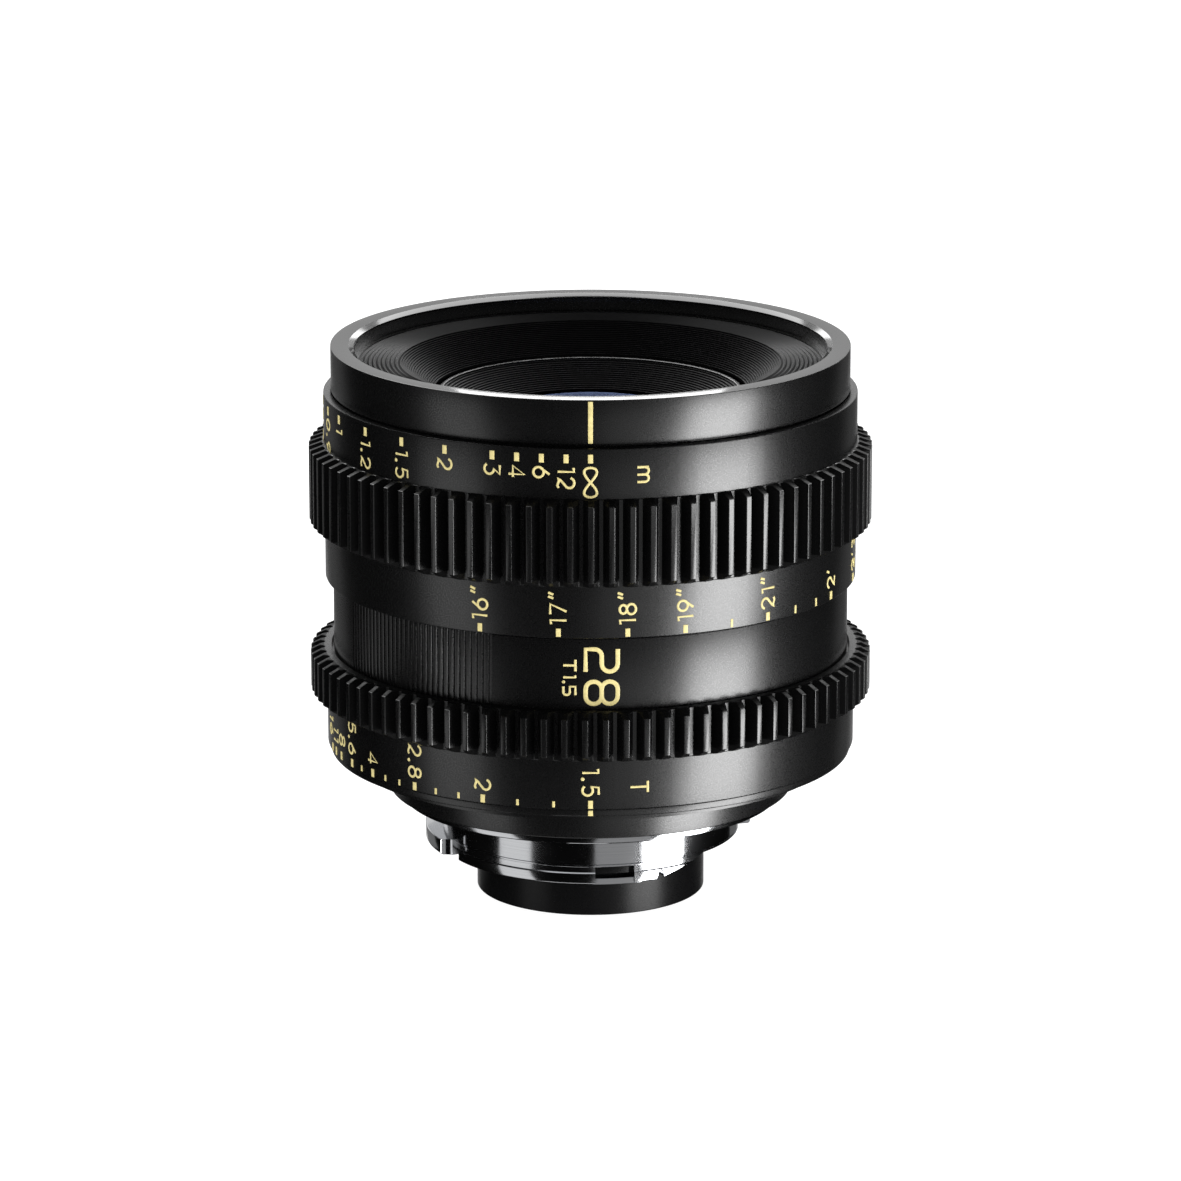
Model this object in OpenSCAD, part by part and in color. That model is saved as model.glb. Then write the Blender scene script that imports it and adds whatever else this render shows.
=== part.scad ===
// Cinema prime lens with geared focus and aperture rings on a four-lug bayonet.
// Millimetres. The optical axis is +Z, the flange seat is Z = 0 and the index marks face -Y.

/* [Gear rings] */
// Teeth on the focus gear and on the aperture gear
gear_teeth = 88; // [87:1:92]
// Module of both gears
gear_module = 0.8; // [0.79:0.01:0.82]
// Axial length of the focus gear
focus_gear_width = 11.1; // [11:0.1:14]
// Axial length of the aperture gear
aperture_gear_width = 6.4; // [6.2:0.1:8]

/* [Axial stack] */
// Flange seat to the underside of the aperture index ring
rear_height = 6.3; // [6.2:0.1:7.5]
// Height of the aperture index ring
index_height = 0.9; // [0.7:0.1:1.4]
// Height of the aperture scale band
t_band_height = 6.3; // [6:0.1:8]
// Height of the fixed barrel between the two rings
barrel_height = 9.5; // [9.5:0.1:14]
// Height of the lower distance band
low_band_height = 6.55; // [6.5:0.05:9]
// Height of the upper distance band
top_band_height = 6.35; // [6.3:0.05:9]
// Height of the front ring above the focus ring
nose_height = 5.9; // [5.7:0.1:8]

/* [Front] */
// Bore of the filter thread at the rim
filter_bore = 60.3; // [60:0.1:61]
// Ribs turned into the cone of the front baffle
baffle_ribs = 14; // [8:1:20]

/* [Grip] */
// Grooves in each grip patch of the fixed barrel
grip_grooves = 31; // [11:2:41]
// Angle between two grooves
grip_pitch = 1.43; // [1.3:0.01:1.6]
// Radius of a groove cutter
grip_cutter = 0.27; // [0.15:0.01:0.3]

/* [Focus drive] */
// Turn of the focus ring from infinity to the nearest distance
focus_throw = 210; // [150:5:220]
// Travel of the carriage for one turn of the focus ring
focus_lead = 4; // [3:0.1:4.1]

/* [Iris] */
// Radius of the fully open stop
stop_radius = 9; // [8.6:0.05:9.1]
// Aperture number at the open end of the scale
t_open = 1.5; // [1.4:0.1:1.6]
// Aperture number at the closed end of the scale
t_closed = 16; // [14:1:16]
// Thickness of an iris blade
blade_thickness = 0.04; // [0.03:0.005:0.045]

/* [Bayonet] */
// Diameter of the mount flange
flange_diameter = 49; // [48.4:0.1:50]
// Diameter across the bayonet lugs
lug_diameter = 42.8; // [42:0.1:43.4]
// Diameter of the bayonet neck
neck_diameter = 38.4; // [38:0.1:38.8]
// Depth of the neck behind the flange seat
neck_depth = 4.7; // [4.5:0.1:5]
// Depth of the guard in front of the neck, behind the flange seat
guard_depth = 6.9; // [6.6:0.1:7.2]
// Diameter of the rear guard tube
tube_diameter = 29.4; // [29:0.1:30]
// Reach of the rear guard tube behind the flange seat
tube_reach = 12.5; // [12.3:0.1:14]

/* [Fits] */
// Running clearance on the radius
run_fit = 0.05; // [0.03:0.01:0.08]
// Clearance between surfaces that only pass each other
body_gap = 0.3; // [0.25:0.01:0.4]
// Clearance between end faces
face_gap = 0.1; // [0.08:0.01:0.15]

/* [Hidden] */
$fn = 96;

blade_count = 10;
edge = 0.15;

// Axial stations, from the mount to the front.
z_index_0 = rear_height;
z_index_1 = z_index_0 + index_height;
z_ap_0 = z_index_1 + face_gap;
z_ap_gear = z_ap_0 + t_band_height;
z_ap_1 = z_ap_gear + aperture_gear_width;
z_barrel_0 = z_ap_1 - 0.5;
z_barrel_1 = z_barrel_0 + barrel_height;
z_focus_0 = z_barrel_1 + body_gap;
z_gear_0 = z_focus_0 + low_band_height;
z_gear_1 = z_gear_0 + focus_gear_width;
z_focus_1 = z_gear_1 + top_band_height;
z_front = z_focus_1 + nose_height;

// Outside radii follow the gear.
r_tip = gear_module * (gear_teeth + 2) / 2;
r_pitch = gear_module * gear_teeth / 2;
r_root = r_tip - 2.25 * gear_module;
r_core = r_root - 1.2;
r_top_band = r_root - 0.15;
r_low_band = r_top_band - 0.05;
r_t_band = r_top_band - 0.15;
r_front = r_top_band - 0.95;
r_barrel = r_top_band - 1.05;
r_index = r_top_band - 0.55;
r_skirt = r_front - 0.4;
r_lip = r_skirt + body_gap;
r_socket = r_barrel + body_gap;

// Nested tubes, from the tooth roots inwards, by their walls.
focus_wall = 2.6;
sleeve_wall = 1.7;
tube_wall = 2.3;
carriage_wall = 3.15;
iris_wall = 3.35;
r_sleeve = r_root - focus_wall;
r_tube_out = r_sleeve - sleeve_wall;
r_tube_in = r_tube_out - tube_wall;
r_carriage = r_tube_in - run_fit;
r_bore = r_carriage - carriage_wall;
r_iris_bore = r_bore - iris_wall;
r_neck_ring = r_sleeve - body_gap - 0.1;

// Front end.
r_glass = 16;
nose_wall = 3.4;
nose_gap = 0.5;
r_nose = r_glass + nose_wall;
r_filter = filter_bore / 2;
r_baffle = r_filter - 0.6;
z_tube_1 = z_focus_1 - 1.3;
z_skirt = z_focus_1 - 1.5;
z_collar = z_focus_1 - 4.7;
z_lip = z_focus_1 - 1.9;
z_rim = z_focus_1 + body_gap;
z_thread = z_front - 2.2;
z_shoulder = z_thread - face_gap;
z_ledge = z_shoulder - 1.4;
r_ledge = r_tube_out - 1.3;
shoulder_width = 5.85;
r_cone_top = r_filter - shoulder_width;
r_cone_low = r_nose + nose_gap;
z_cone_low = z_shoulder - 3.5;

// Focus drive.
travel = focus_lead * focus_throw / 360;
r_follower = 1.5;
z_follower = z_gear_0 + 3;
a_follower = 90;
r_seat = r_carriage - 0.25;
z_sleeve_1 = z_collar - body_gap;

// Iris.
r_edge = stop_radius + 0.4;
blade_half = 2.8;
r_pivot = r_edge + blade_half;
r_stop_small = stop_radius * t_open / t_closed;
blade_swing = 2 * asin((r_edge - r_stop_small) / (2 * r_pivot));
iris_turn = 2 * blade_swing;
blade_span = 180 - blade_swing;
blade_ramp = 0.02;
blade_cap = 13;
blade_steps = 30;
pivot_pin = 0.5;
tip_pin = 0.45;
drive_rim = 1.45;
z_base_0 = z_ap_0 + 13.5;
z_base_1 = z_base_0 + 1.2;
z_blade = z_base_0 - 0.4;
z_drive_1 = z_blade - blade_ramp * (blade_span + blade_cap) - 0.3;
z_drive_0 = z_drive_1 - 1.3;
r_slot_in = 2 * r_pivot * sin(blade_span / 2) - r_pivot;

// Aperture pin.
r_pin = 1;
z_pin = z_ap_0 + 6.5;
a_pin = 90 - iris_turn / 2;
r_pin_end = r_iris_bore - drive_rim;
r_pin_head = r_t_band - 0.25;
z_pin_low = z_pin - travel - r_pin - face_gap;

// Carriage.
z_carriage_0 = z_ap_0 + 2.3;
z_carriage_1 = z_focus_1 - 7.3;
z_upstand = z_carriage_0 + 0.5;
z_rim_0 = z_upstand + 0.3;

// Curve radius of each glass face, from the front of the lens to the back.
e1_front = 48;
e1_back = 22;
e2_front = 55;
e2_back = 30;
e3_front = 35;
e3_back = 80;
d1_front = 80;
d1_cement = 60;
d2_front = 26;
d2_cement = 24;
d2_back = 30;
e6_front = 28;
e6_back = 36;
e7_front = 30;
e7_back = 40;

// Front optics hang from the nose of the carriage.
spacer_wall = 3;
z_nose = z_focus_1 - 0.2;
z_e1_1 = z_focus_1 - 4.1;
z_e1_0 = z_e1_1 - 4;
z_e2_1 = z_e1_0 - 3;
z_e2_0 = z_e2_1 - 5.6;
z_e3_1 = z_e2_0 - 1.2;
z_e3_0 = z_e3_1 - 4;
z_d1_1 = z_e3_0 - 3.2;
z_d1_mid = z_d1_1 - 1.2;
z_d1_0 = z_d1_1 - 4.6;

// Rear optics hang from the rear flange of the carriage.
r_tube = tube_diameter / 2;
r_tube_bore = r_tube - 1.3;
rear_cell_wall = 1.8;
rear_spacer_wall = 1.4;
r_rear_cell = r_tube_bore - body_gap - 0.1;
r_rear_glass = r_rear_cell - rear_cell_wall;
r_rear_clear = r_rear_glass - 1.6;
r_rear_hollow = r_rear_glass - 1.8;
z_rear_lip = z_carriage_0 + 5;
z_d2_1 = z_carriage_0 + 2.4;
z_d2_mid = z_d2_1 - 1.6;
z_d2_0 = z_d2_1 - 7;
z_e6_1 = z_d2_0 - 2.6;
z_e6_0 = z_e6_1 - 2.8;
z_e7_1 = z_e6_0 - 3.2;
z_e7_0 = z_e7_1 - 4.2;
z_rear_end = z_e7_0 - 1.8;

// Mount.
r_flange = flange_diameter / 2;
r_lug = lug_diameter / 2;
r_neck = neck_diameter / 2;
r_mount_bore = r_tube + 1.5;
r_hub = r_neck + 0.8;
flange_thickness = 1;
shim_thickness = 0.15;
z_cover_0 = flange_thickness + shim_thickness;
z_hub = z_cover_0 + 2.05;
lug_height = 2.05;
z_lug = -neck_depth - 1.35;
guard_step = 0.15;
z_guard_step = -neck_depth - 0.75;
guard_ramp = 12;
r_guard = r_mount_bore + 0.4;
r_rear_ring = 26;
r_cover = r_index - 2;
r_mount_screw = r_hub + 2;
r_cover_screw = (r_tube_in + r_tube_out) / 2;
r_cell_screw = (r_bore + r_carriage) / 2;

black = [0.07, 0.07, 0.075];
satin = [0.13, 0.13, 0.14];
brass = [0.72, 0.56, 0.28];
steel = [0.62, 0.63, 0.65];
chrome = [0.8, 0.81, 0.83];
clear = [0.55, 0.7, 0.8, 0.5];

function sag(radius, reach) = radius - sqrt(radius * radius - reach * reach);
function polar(radius, angle) = [radius * cos(angle), radius * sin(angle)];
function half_tooth(radius) =
    (PI * gear_module / 4 - (radius - r_pitch) * tan(20)) / radius * 180 / PI;

// Outline of a straight-flanked gear, four corners to a tooth.
function gear_outline(phase) = [
    for (i = [0 : gear_teeth - 1], side = [0 : 3])
        polar(side == 0 || side == 3 ? r_root : r_tip,
            phase + i * 360 / gear_teeth
            + (side < 2 ? -1 : 1) * half_tooth(side == 0 || side == 3 ? r_root : r_tip))
];

// Corners and faces of a ribbon swept round the axis, four corners to a section.
function ribbon_points(sections) = [for (s = sections) each [
    [s[1] * cos(s[0]), s[1] * sin(s[0]), s[3]],
    [s[2] * cos(s[0]), s[2] * sin(s[0]), s[3]],
    [s[2] * cos(s[0]), s[2] * sin(s[0]), s[4]],
    [s[1] * cos(s[0]), s[1] * sin(s[0]), s[4]]
]];
function ribbon_faces(last) = concat(
    [for (i = [0 : last - 1]) each [
        [4 * i, 4 * i + 1, 4 * i + 5],
        [4 * i, 4 * i + 5, 4 * i + 4],
        [4 * i + 3, 4 * i + 6, 4 * i + 2],
        [4 * i + 3, 4 * i + 7, 4 * i + 6],
        [4 * i + 1, 4 * i + 2, 4 * i + 6, 4 * i + 5],
        [4 * i, 4 * i + 4, 4 * i + 7, 4 * i + 3]
    ]],
    [[0, 3, 2, 1], [4 * last, 4 * last + 1, 4 * last + 2, 4 * last + 3]]
);
module ribbon(sections) {
    polyhedron(points = ribbon_points(sections), faces = ribbon_faces(len(sections) - 1));
}

// Plain turned ring.
module ring(outer, inner, z0, z1) {
    translate([0, 0, z0])
        difference() {
            cylinder(r = outer, h = z1 - z0);
            translate([0, 0, -1])
                cylinder(r = inner, h = z1 - z0 + 2);
        }
}

// Cylinder along a radius, from r0 to r1 at one angle and height.
module spoke(radius, r0, r1, angle, z) {
    rotate([0, 0, angle])
        translate([r0, 0, z])
            rotate([0, 90, 0])
                cylinder(r = radius, h = r1 - r0, $fn = 32);
}

// Part of a ring between two angles.
module sector(r0, r1, z0, z1, a0, a1) {
    rotate([0, 0, a0])
        rotate_extrude(angle = a1 - a0)
            polygon([[r0, z0], [r1, z0], [r1, z1], [r0, z1]]);
}

// Gear teeth with bevelled ends. Each end gives the radius where its bevel starts and its drop.
module gear(z0, z1, low, high, phase) {
    reach = r_tip + 0.5;
    intersection() {
        translate([0, 0, z0])
            linear_extrude(height = z1 - z0)
                polygon(gear_outline(phase));
        rotate_extrude()
            polygon([
                [r_core, z0],
                [low[0], z0],
                [reach, z0 + low[1] * (reach - low[0]) / (r_tip - low[0])],
                [reach, z1 - high[1] * (reach - high[0]) / (r_tip - high[0])],
                [high[0], z1],
                [r_core, z1]
            ]);
    }
}

// Lens blank with a spherical dome or hollow on either face; a negative radius is a hollow.
module blank(radius, z0, z1, low_curve, low_reach, high_curve, high_reach) {
    difference() {
        union() {
            translate([0, 0, z0])
                cylinder(r = radius, h = z1 - z0);
            if (high_curve > 0)
                intersection() {
                    translate([0, 0, z1 + sag(high_curve, high_reach) - high_curve])
                        sphere(r = high_curve, $fn = 240);
                    translate([0, 0, z1 - 0.5])
                        cylinder(r = high_reach, h = high_curve);
                }
            if (low_curve > 0)
                intersection() {
                    translate([0, 0, z0 - sag(low_curve, low_reach) + low_curve])
                        sphere(r = low_curve, $fn = 240);
                    translate([0, 0, z0 + 0.5 - low_curve])
                        cylinder(r = low_reach, h = low_curve);
                }
        }
        if (high_curve < 0)
            translate([0, 0, z1 - sag(-high_curve, high_reach) - high_curve])
                sphere(r = -high_curve, $fn = 240);
        if (low_curve < 0)
            translate([0, 0, z0 + sag(-low_curve, low_reach) + low_curve])
                sphere(r = -low_curve, $fn = 240);
    }
}

// Ball that forms the cemented face of a doublet; the face reaches the rim at height z.
module cement(curve, radius, z) {
    translate([0, 0, z - sag(curve, radius) + curve])
        sphere(r = curve, $fn = 240);
}

module front_ring() {
    color(black)
        rotate_extrude()
            polygon([
                [r_tube_out, z_collar],
                [r_neck_ring, z_collar],
                [r_neck_ring, z_skirt],
                [r_skirt, z_skirt],
                [r_skirt, z_rim],
                [r_front, z_rim],
                [r_front, z_front - edge],
                [r_front - edge, z_front],
                [r_filter + 0.5, z_front],
                [r_filter, z_front - 0.5],
                [r_filter, z_thread],
                [r_baffle, z_thread],
                [r_baffle, z_ledge],
                [r_ledge, z_ledge],
                [r_ledge, z_tube_1],
                [r_tube_out, z_tube_1]
            ]);
}

module front_baffle() {
    shoulder_ribs = 9;
    r_shoulder = r_baffle - 0.2;
    shoulder_pitch = (r_shoulder - r_cone_top) / shoulder_ribs;
    rib_r = (r_cone_top - r_cone_low) / baffle_ribs;
    rib_z = (z_shoulder - z_cone_low) / baffle_ribs;
    color(black)
        rotate_extrude()
            polygon(concat(
                [[r_cone_low, z_cone_low - 0.4], [r_cone_low + 0.7, z_cone_low - 0.6]],
                [[r_cone_top + 0.7, z_ledge], [r_baffle, z_ledge], [r_baffle, z_shoulder]],
                [for (i = [0 : shoulder_ribs - 1]) each [
                    [r_shoulder - i * shoulder_pitch, z_shoulder],
                    [r_shoulder - (i + 0.35) * shoulder_pitch, z_shoulder - 0.2],
                    [r_shoulder - (i + 0.65) * shoulder_pitch, z_shoulder - 0.2]
                ]],
                [[r_cone_top, z_shoulder]],
                [for (i = [0 : baffle_ribs - 1]) each [
                    [r_cone_top - (i + 0.2) * rib_r, z_shoulder - (i + 1) * rib_z],
                    [r_cone_top - (i + 1) * rib_r, z_shoulder - (i + 1) * rib_z]
                ]]
            ));
}

module main_tube() {
    color(satin)
        difference() {
            ring(r_tube_out, r_tube_in, z_index_0, z_tube_1);
            for (i = [0 : 2])
                follower_slot(a_follower + i * 120);
            sector(r_tube_in - 1, r_tube_out + 1, z_pin - r_pin - face_gap, z_pin + r_pin + face_gap,
                a_pin - stop_angle(r_tube_in), a_pin + iris_turn + stop_angle(r_tube_in));
            barrel_key_set(0.8);
            cover_screw_set(0);
        }
}

// Half angle that the aperture pin takes at a radius, with its clearance at a stop.
function stop_angle(radius) = asin((r_pin + face_gap) / radius);

// Straight guide slot for one follower.
module follower_slot(angle) {
    half = r_follower + run_fit;
    spoke(half, r_tube_in - 1, r_tube_out + 1, angle, z_follower);
    spoke(half, r_tube_in - 1, r_tube_out + 1, angle, z_follower + travel);
    rotate([0, 0, angle])
        translate([r_tube_in - 1, -half, z_follower])
            cube([r_tube_out - r_tube_in + 2, 2 * half, travel]);
}

module fixed_barrel() {
    middle = (grip_grooves - 1) / 2;
    color(black)
        difference() {
            rotate_extrude()
                polygon([
                    [r_tube_out, z_barrel_0],
                    [r_barrel, z_barrel_0],
                    [r_barrel, z_barrel_1 - edge],
                    [r_barrel - edge, z_barrel_1],
                    [r_tube_out, z_barrel_1]
                ]);
            for (side = [0, 180], i = [0 : grip_grooves - 1])
                rotate([0, 0, -134.3 + side + (i - middle) * grip_pitch])
                    translate([r_barrel + 0.04, 0, z_barrel_0 - 1])
                        cylinder(r = grip_cutter, h = barrel_height + 2, $fn = 20);
            barrel_key_set(0.8);
        }
}

// Keys that straddle the joint of the fixed barrel and the main tube.
module barrel_key_set(radius) {
    for (i = [0 : 2])
        rotate([0, 0, 30 + i * 120])
            translate([r_tube_out, 0, z_barrel_0])
                cylinder(r = radius, h = 4, $fn = 24);
}
module barrel_keys() {
    color(steel)
        barrel_key_set(0.8);
}

module focus_thrust_washer() {
    color([0.85, 0.85, 0.8])
        ring(r_sleeve - 0.2, r_tube_out, z_barrel_1, z_barrel_1 + body_gap - 0.05);
}

module aperture_index_ring() {
    color(black)
        rotate_extrude()
            polygon([
                [r_tube_out, z_index_0],
                [r_index - edge, z_index_0],
                [r_index, z_index_0 + edge],
                [r_index, z_index_1],
                [r_tube_out, z_index_1]
            ]);
}

module rear_cover() {
    color(black)
        difference() {
            rotate_extrude()
                polygon([
                    [r_hub, z_cover_0],
                    [r_rear_ring - edge, z_cover_0],
                    [r_rear_ring, z_cover_0 + edge],
                    [r_rear_ring, z_index_0 - 1.8],
                    [r_cover, z_index_0 - 1],
                    [r_cover, z_index_0],
                    [r_hub - 2.8, z_index_0],
                    [r_hub - 2.8, z_hub],
                    [r_hub, z_hub]
                ]);
            cover_screw_set(3);
            mount_screw_set();
        }
}

// Screws that pull the rear cover to the main tube; extra lengthens the head as a counterbore.
module cover_screw_set(extra) {
    for (i = [0 : 3])
        rotate([0, 0, 45 + i * 90])
            translate([r_cover_screw, 0, 0]) {
                translate([0, 0, z_index_0 - 0.6])
                    cylinder(r = 0.7, h = 3.6, $fn = 24);
                translate([0, 0, z_index_0 - 1.2 - extra])
                    cylinder(r = 1.05, h = 0.6 + extra, $fn = 24);
            }
}
module cover_screws() {
    color(steel)
        cover_screw_set(0);
}

module mount_shim() {
    color(brass)
        difference() {
            ring(r_flange - 0.3, r_hub, flange_thickness, z_cover_0);
            mount_screw_set();
        }
}

// Part of the guard under the neck. Its foot stands a step wider than its top.
module guard(a0, a1) {
    rotate([0, 0, a0])
        rotate_extrude(angle = a1 - a0)
            polygon([
                [r_guard, -guard_depth],
                [r_neck, -guard_depth],
                [r_neck, z_guard_step - guard_step],
                [r_neck - guard_step, z_guard_step],
                [r_neck - guard_step, 0.5 - neck_depth],
                [r_guard, 0.5 - neck_depth]
            ]);
}

module bayonet_mount() {
    ramp_angle = -52;
    notch_angle = -62;
    notch = 0.42;
    color(chrome)
        difference() {
            union() {
                rotate_extrude()
                    polygon([
                        [r_mount_bore, -neck_depth],
                        [r_neck, -neck_depth],
                        [r_neck, 0],
                        [r_flange - edge, 0],
                        [r_flange, edge],
                        [r_flange, flange_thickness],
                        [r_hub, flange_thickness],
                        [r_hub, z_hub],
                        [r_mount_bore, z_hub]
                    ]);
                for (lug = [[13, 54], [84, 54], [155, 53]])
                    rotate([0, 0, lug[0]])
                        rotate_extrude(angle = lug[1])
                            polygon([
                                [r_guard, z_lug],
                                [r_lug - 0.4, z_lug],
                                [r_lug, z_lug + 0.4],
                                [r_lug, z_lug + lug_height],
                                [r_guard, z_lug + lug_height]
                            ]);
                guard(-152, -88.2);
                difference() {
                    guard(-73, ramp_angle + guard_ramp - 1);
                    rotate([0, 0, ramp_angle])
                        translate([0, 0, -(guard_depth + neck_depth) / 2])
                            rotate([atan((guard_depth - neck_depth)
                                         / (2 * r_neck * sin(guard_ramp))), 0, 0])
                                translate([0, -r_neck / 2, -r_neck])
                                    cube([2 * r_neck, r_neck, r_neck]);
                }
                sector(r_guard + 0.2, r_neck - 0.25, -guard_depth - 0.2, 0.6 - guard_depth,
                       -91, -70);
            }
            rotate([0, 0, notch_angle])
                translate([r_neck - 1.6, -notch, -guard_depth - 1])
                    cube([3, 2 * notch, 1.85]);
            spoke(notch, r_neck - 1.6, r_neck + 1, notch_angle, 0.85 - guard_depth);
            rotate([0, 0, -150])
                translate([r_lug, 0, z_lug - 1])
                    cylinder(r = 1.5, h = lug_height + 1.5, $fn = 32);
            mount_screw_set();
        }
}

// Countersunk screws of the mount, from the flange seat into the rear cover.
module mount_screw_set() {
    for (angle = [-125, -35, 55, 145])
        rotate([0, 0, angle])
            translate([r_mount_screw, 0, 0]) {
                cylinder(r1 = 1.45, r2 = 0.8, h = 0.7, $fn = 32);
                cylinder(r = 0.8, h = 4, $fn = 32);
            }
}
module mount_screws() {
    color(steel)
        mount_screw_set();
}

module rear_tube() {
    color(satin)
        rotate_extrude()
            polygon([
                [r_tube_bore - 2, -tube_reach],
                [r_tube - edge, -tube_reach],
                [r_tube, edge - tube_reach],
                [r_tube, -2.2],
                [r_mount_bore, -2.2],
                [r_mount_bore, 1.6],
                [r_tube_bore, 1.6],
                [r_tube_bore, 0.8 - tube_reach],
                [r_tube_bore - 2, 0.8 - tube_reach]
            ]);
}

module focus_ring() {
    color(black)
        difference() {
            union() {
                rotate_extrude()
                    polygon([
                        [r_sleeve, z_focus_0],
                        [r_low_band - edge, z_focus_0],
                        [r_low_band, z_focus_0 + edge],
                        [r_low_band, z_gear_0 + 0.5],
                        [r_top_band, z_gear_0 + 0.5],
                        [r_top_band, z_focus_1 - edge],
                        [r_top_band - edge, z_focus_1],
                        [r_lip, z_focus_1],
                        [r_lip, z_lip],
                        [r_sleeve, z_lip]
                    ]);
                gear(z_gear_0, z_gear_1, [r_root + 0.1, 0.95], [r_root + 0.1, 0.6], 2.2);
            }
            focus_key_set(0.8);
        }
}

// Keys that straddle the joint of the focus ring and its cam sleeve.
module focus_key_set(radius) {
    for (i = [0 : 2])
        rotate([0, 0, 10 + i * 120])
            translate([r_sleeve, 0, z_focus_0])
                cylinder(r = radius, h = 3.5, $fn = 24);
}
module focus_keys() {
    color(steel)
        focus_key_set(0.8);
}

// Cam sleeve with the helical slot that lifts the follower.
module focus_cam_sleeve() {
    half = r_follower + run_fit;
    inner = r_tube_out + run_fit;
    steps = ceil(focus_throw / 5);
    color(brass)
        difference() {
            ring(r_sleeve, inner, z_focus_0, z_sleeve_1);
            ribbon([for (i = [0 : steps])
                let (turn = focus_throw * (1 - i / steps), z = z_follower + focus_lead * turn / 360)
                    [a_follower - turn, inner - 1, r_sleeve + 1, z - half, z + half]
            ]);
            spoke(half, inner - 1, r_sleeve + 1, a_follower, z_follower);
            spoke(half, inner - 1, r_sleeve + 1, a_follower - focus_throw, z_follower + travel);
            focus_key_set(0.8);
        }
}

module lens_barrel() {
    color(satin)
        difference() {
            ring(r_carriage, r_bore, z_carriage_0, z_carriage_1);
            focus_follower_shape(r_carriage + 1);
            guide_roller_set(r_carriage + 1);
            pin_window(r_bore - 1, r_carriage + 1);
            cell_screw_set();
        }
}

// Window in the carriage that clears the aperture pin over its turn and over the focus travel.
module pin_window(r0, r1) {
    sector(r0, r1, z_pin_low, z_pin + r_pin + face_gap,
        a_pin - stop_angle(r0), a_pin + iris_turn + stop_angle(r0));
}

// Shouldered roller on a shank; the shoulder sits in a spot face of the carriage.
module roller(angle, reach) {
    spoke(r_follower, r_seat, reach, angle, z_follower);
    spoke(1, r_bore + 0.3, r_seat + 0.1, angle, z_follower);
}
module focus_follower_shape(reach) {
    roller(a_follower, reach);
}
module guide_roller_set(reach) {
    for (i = [1, 2])
        roller(a_follower + i * 120, reach);
}
module focus_follower() {
    color(steel)
        focus_follower_shape(r_sleeve - 0.2);
}
module guide_rollers() {
    color(steel)
        guide_roller_set(r_tube_out - 0.2);
}

module front_cell() {
    color(satin)
        rotate_extrude()
            polygon([
                [r_glass - 2.5, z_base_1],
                [r_bore, z_base_1],
                [r_bore, z_carriage_1],
                [r_carriage - 0.7, z_carriage_1],
                [r_carriage - 0.7, z_carriage_1 + 1.4],
                [r_nose, z_carriage_1 + 1.4],
                [r_nose, z_nose],
                [r_nose - 0.5, z_nose],
                [r_nose - 0.5, z_e1_1 + 1.2],
                [r_glass, z_e1_1 + 1.2],
                [r_glass, z_d1_0],
                [r_glass - 2.5, z_d1_0]
            ]);
}

// Ribbed retaining ring that holds the front glass.
module front_retainer() {
    ribs = 10;
    r_in = r_glass - 2.7;
    z_low = z_e1_1 + 1;
    rib_r = (r_nose - 0.6 - r_in) / ribs;
    rib_z = (z_nose - z_low) / ribs;
    color(black)
        rotate_extrude()
            polygon(concat(
                [[r_glass - 0.9, z_e1_1], [r_glass, z_e1_1], [r_glass, z_e1_1 + 1.2]],
                [[r_nose - 0.5, z_e1_1 + 1.2], [r_nose - 0.5, z_nose], [r_nose - 0.6, z_nose]],
                [for (i = [0 : ribs - 1]) each [
                    [r_nose - 0.6 - (i + 0.25) * rib_r, z_nose - (i + 1) * rib_z],
                    [r_nose - 0.6 - (i + 1) * rib_r, z_nose - (i + 1) * rib_z]
                ]],
                [[r_in, z_low - 0.15], [r_glass - 0.9, z_low - 0.15]]
            ));
}

module front_element() {
    color(clear)
        blank(r_glass, z_e1_0, z_e1_1, -e1_back, r_glass - 3.2, e1_front, r_glass - 1.2);
}
module spacer_1() {
    color(black)
        ring(r_glass, r_glass - spacer_wall, z_e2_1, z_e1_0);
}
module element_2() {
    color(clear)
        blank(r_glass, z_e2_0, z_e2_1, -e2_back, r_glass - 4, -e2_front, r_glass - 3.2);
}
module spacer_2() {
    color(black)
        ring(r_glass, r_glass - spacer_wall, z_e3_1, z_e2_0);
}
module element_3() {
    color(clear)
        blank(r_glass, z_e3_0, z_e3_1, e3_back, r_glass - 3.4, e3_front, r_glass - 3.4);
}
module spacer_3() {
    color(black)
        ring(r_glass, r_glass - spacer_wall, z_d1_1, z_e3_0);
}
module front_doublet_crown() {
    color(clear)
        intersection() {
            blank(r_glass, z_d1_0, z_d1_1, 0, 0, d1_front, r_glass - 3.4);
            cement(d1_cement, r_glass, z_d1_mid);
        }
}
module front_doublet_flint() {
    color(clear)
        difference() {
            blank(r_glass, z_d1_0, z_d1_mid, 0, 0, 0, 0);
            cement(d1_cement, r_glass, z_d1_mid);
        }
}

// Cup that carries the blade pivots and guides the drive ring.
module iris_base() {
    color(satin)
        difference() {
            rotate_extrude()
                polygon([
                    [stop_radius, z_base_0],
                    [r_iris_bore - drive_rim, z_base_0],
                    [r_iris_bore - drive_rim, z_drive_1 + face_gap],
                    [r_iris_bore, z_drive_1 + face_gap],
                    [r_iris_bore, z_carriage_0],
                    [r_bore, z_carriage_0],
                    [r_bore, z_base_1],
                    [stop_radius + 0.6, z_base_1]
                ]);
            for (i = [0 : blade_count - 1])
                rotate([0, 0, i * 360 / blade_count])
                    translate([r_pivot, 0, z_base_0 - 1])
                        cylinder(r = pivot_pin + run_fit, h = 4, $fn = 24);
            pin_window(r_iris_bore - 1, r_bore + 1);
        }
}

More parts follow.
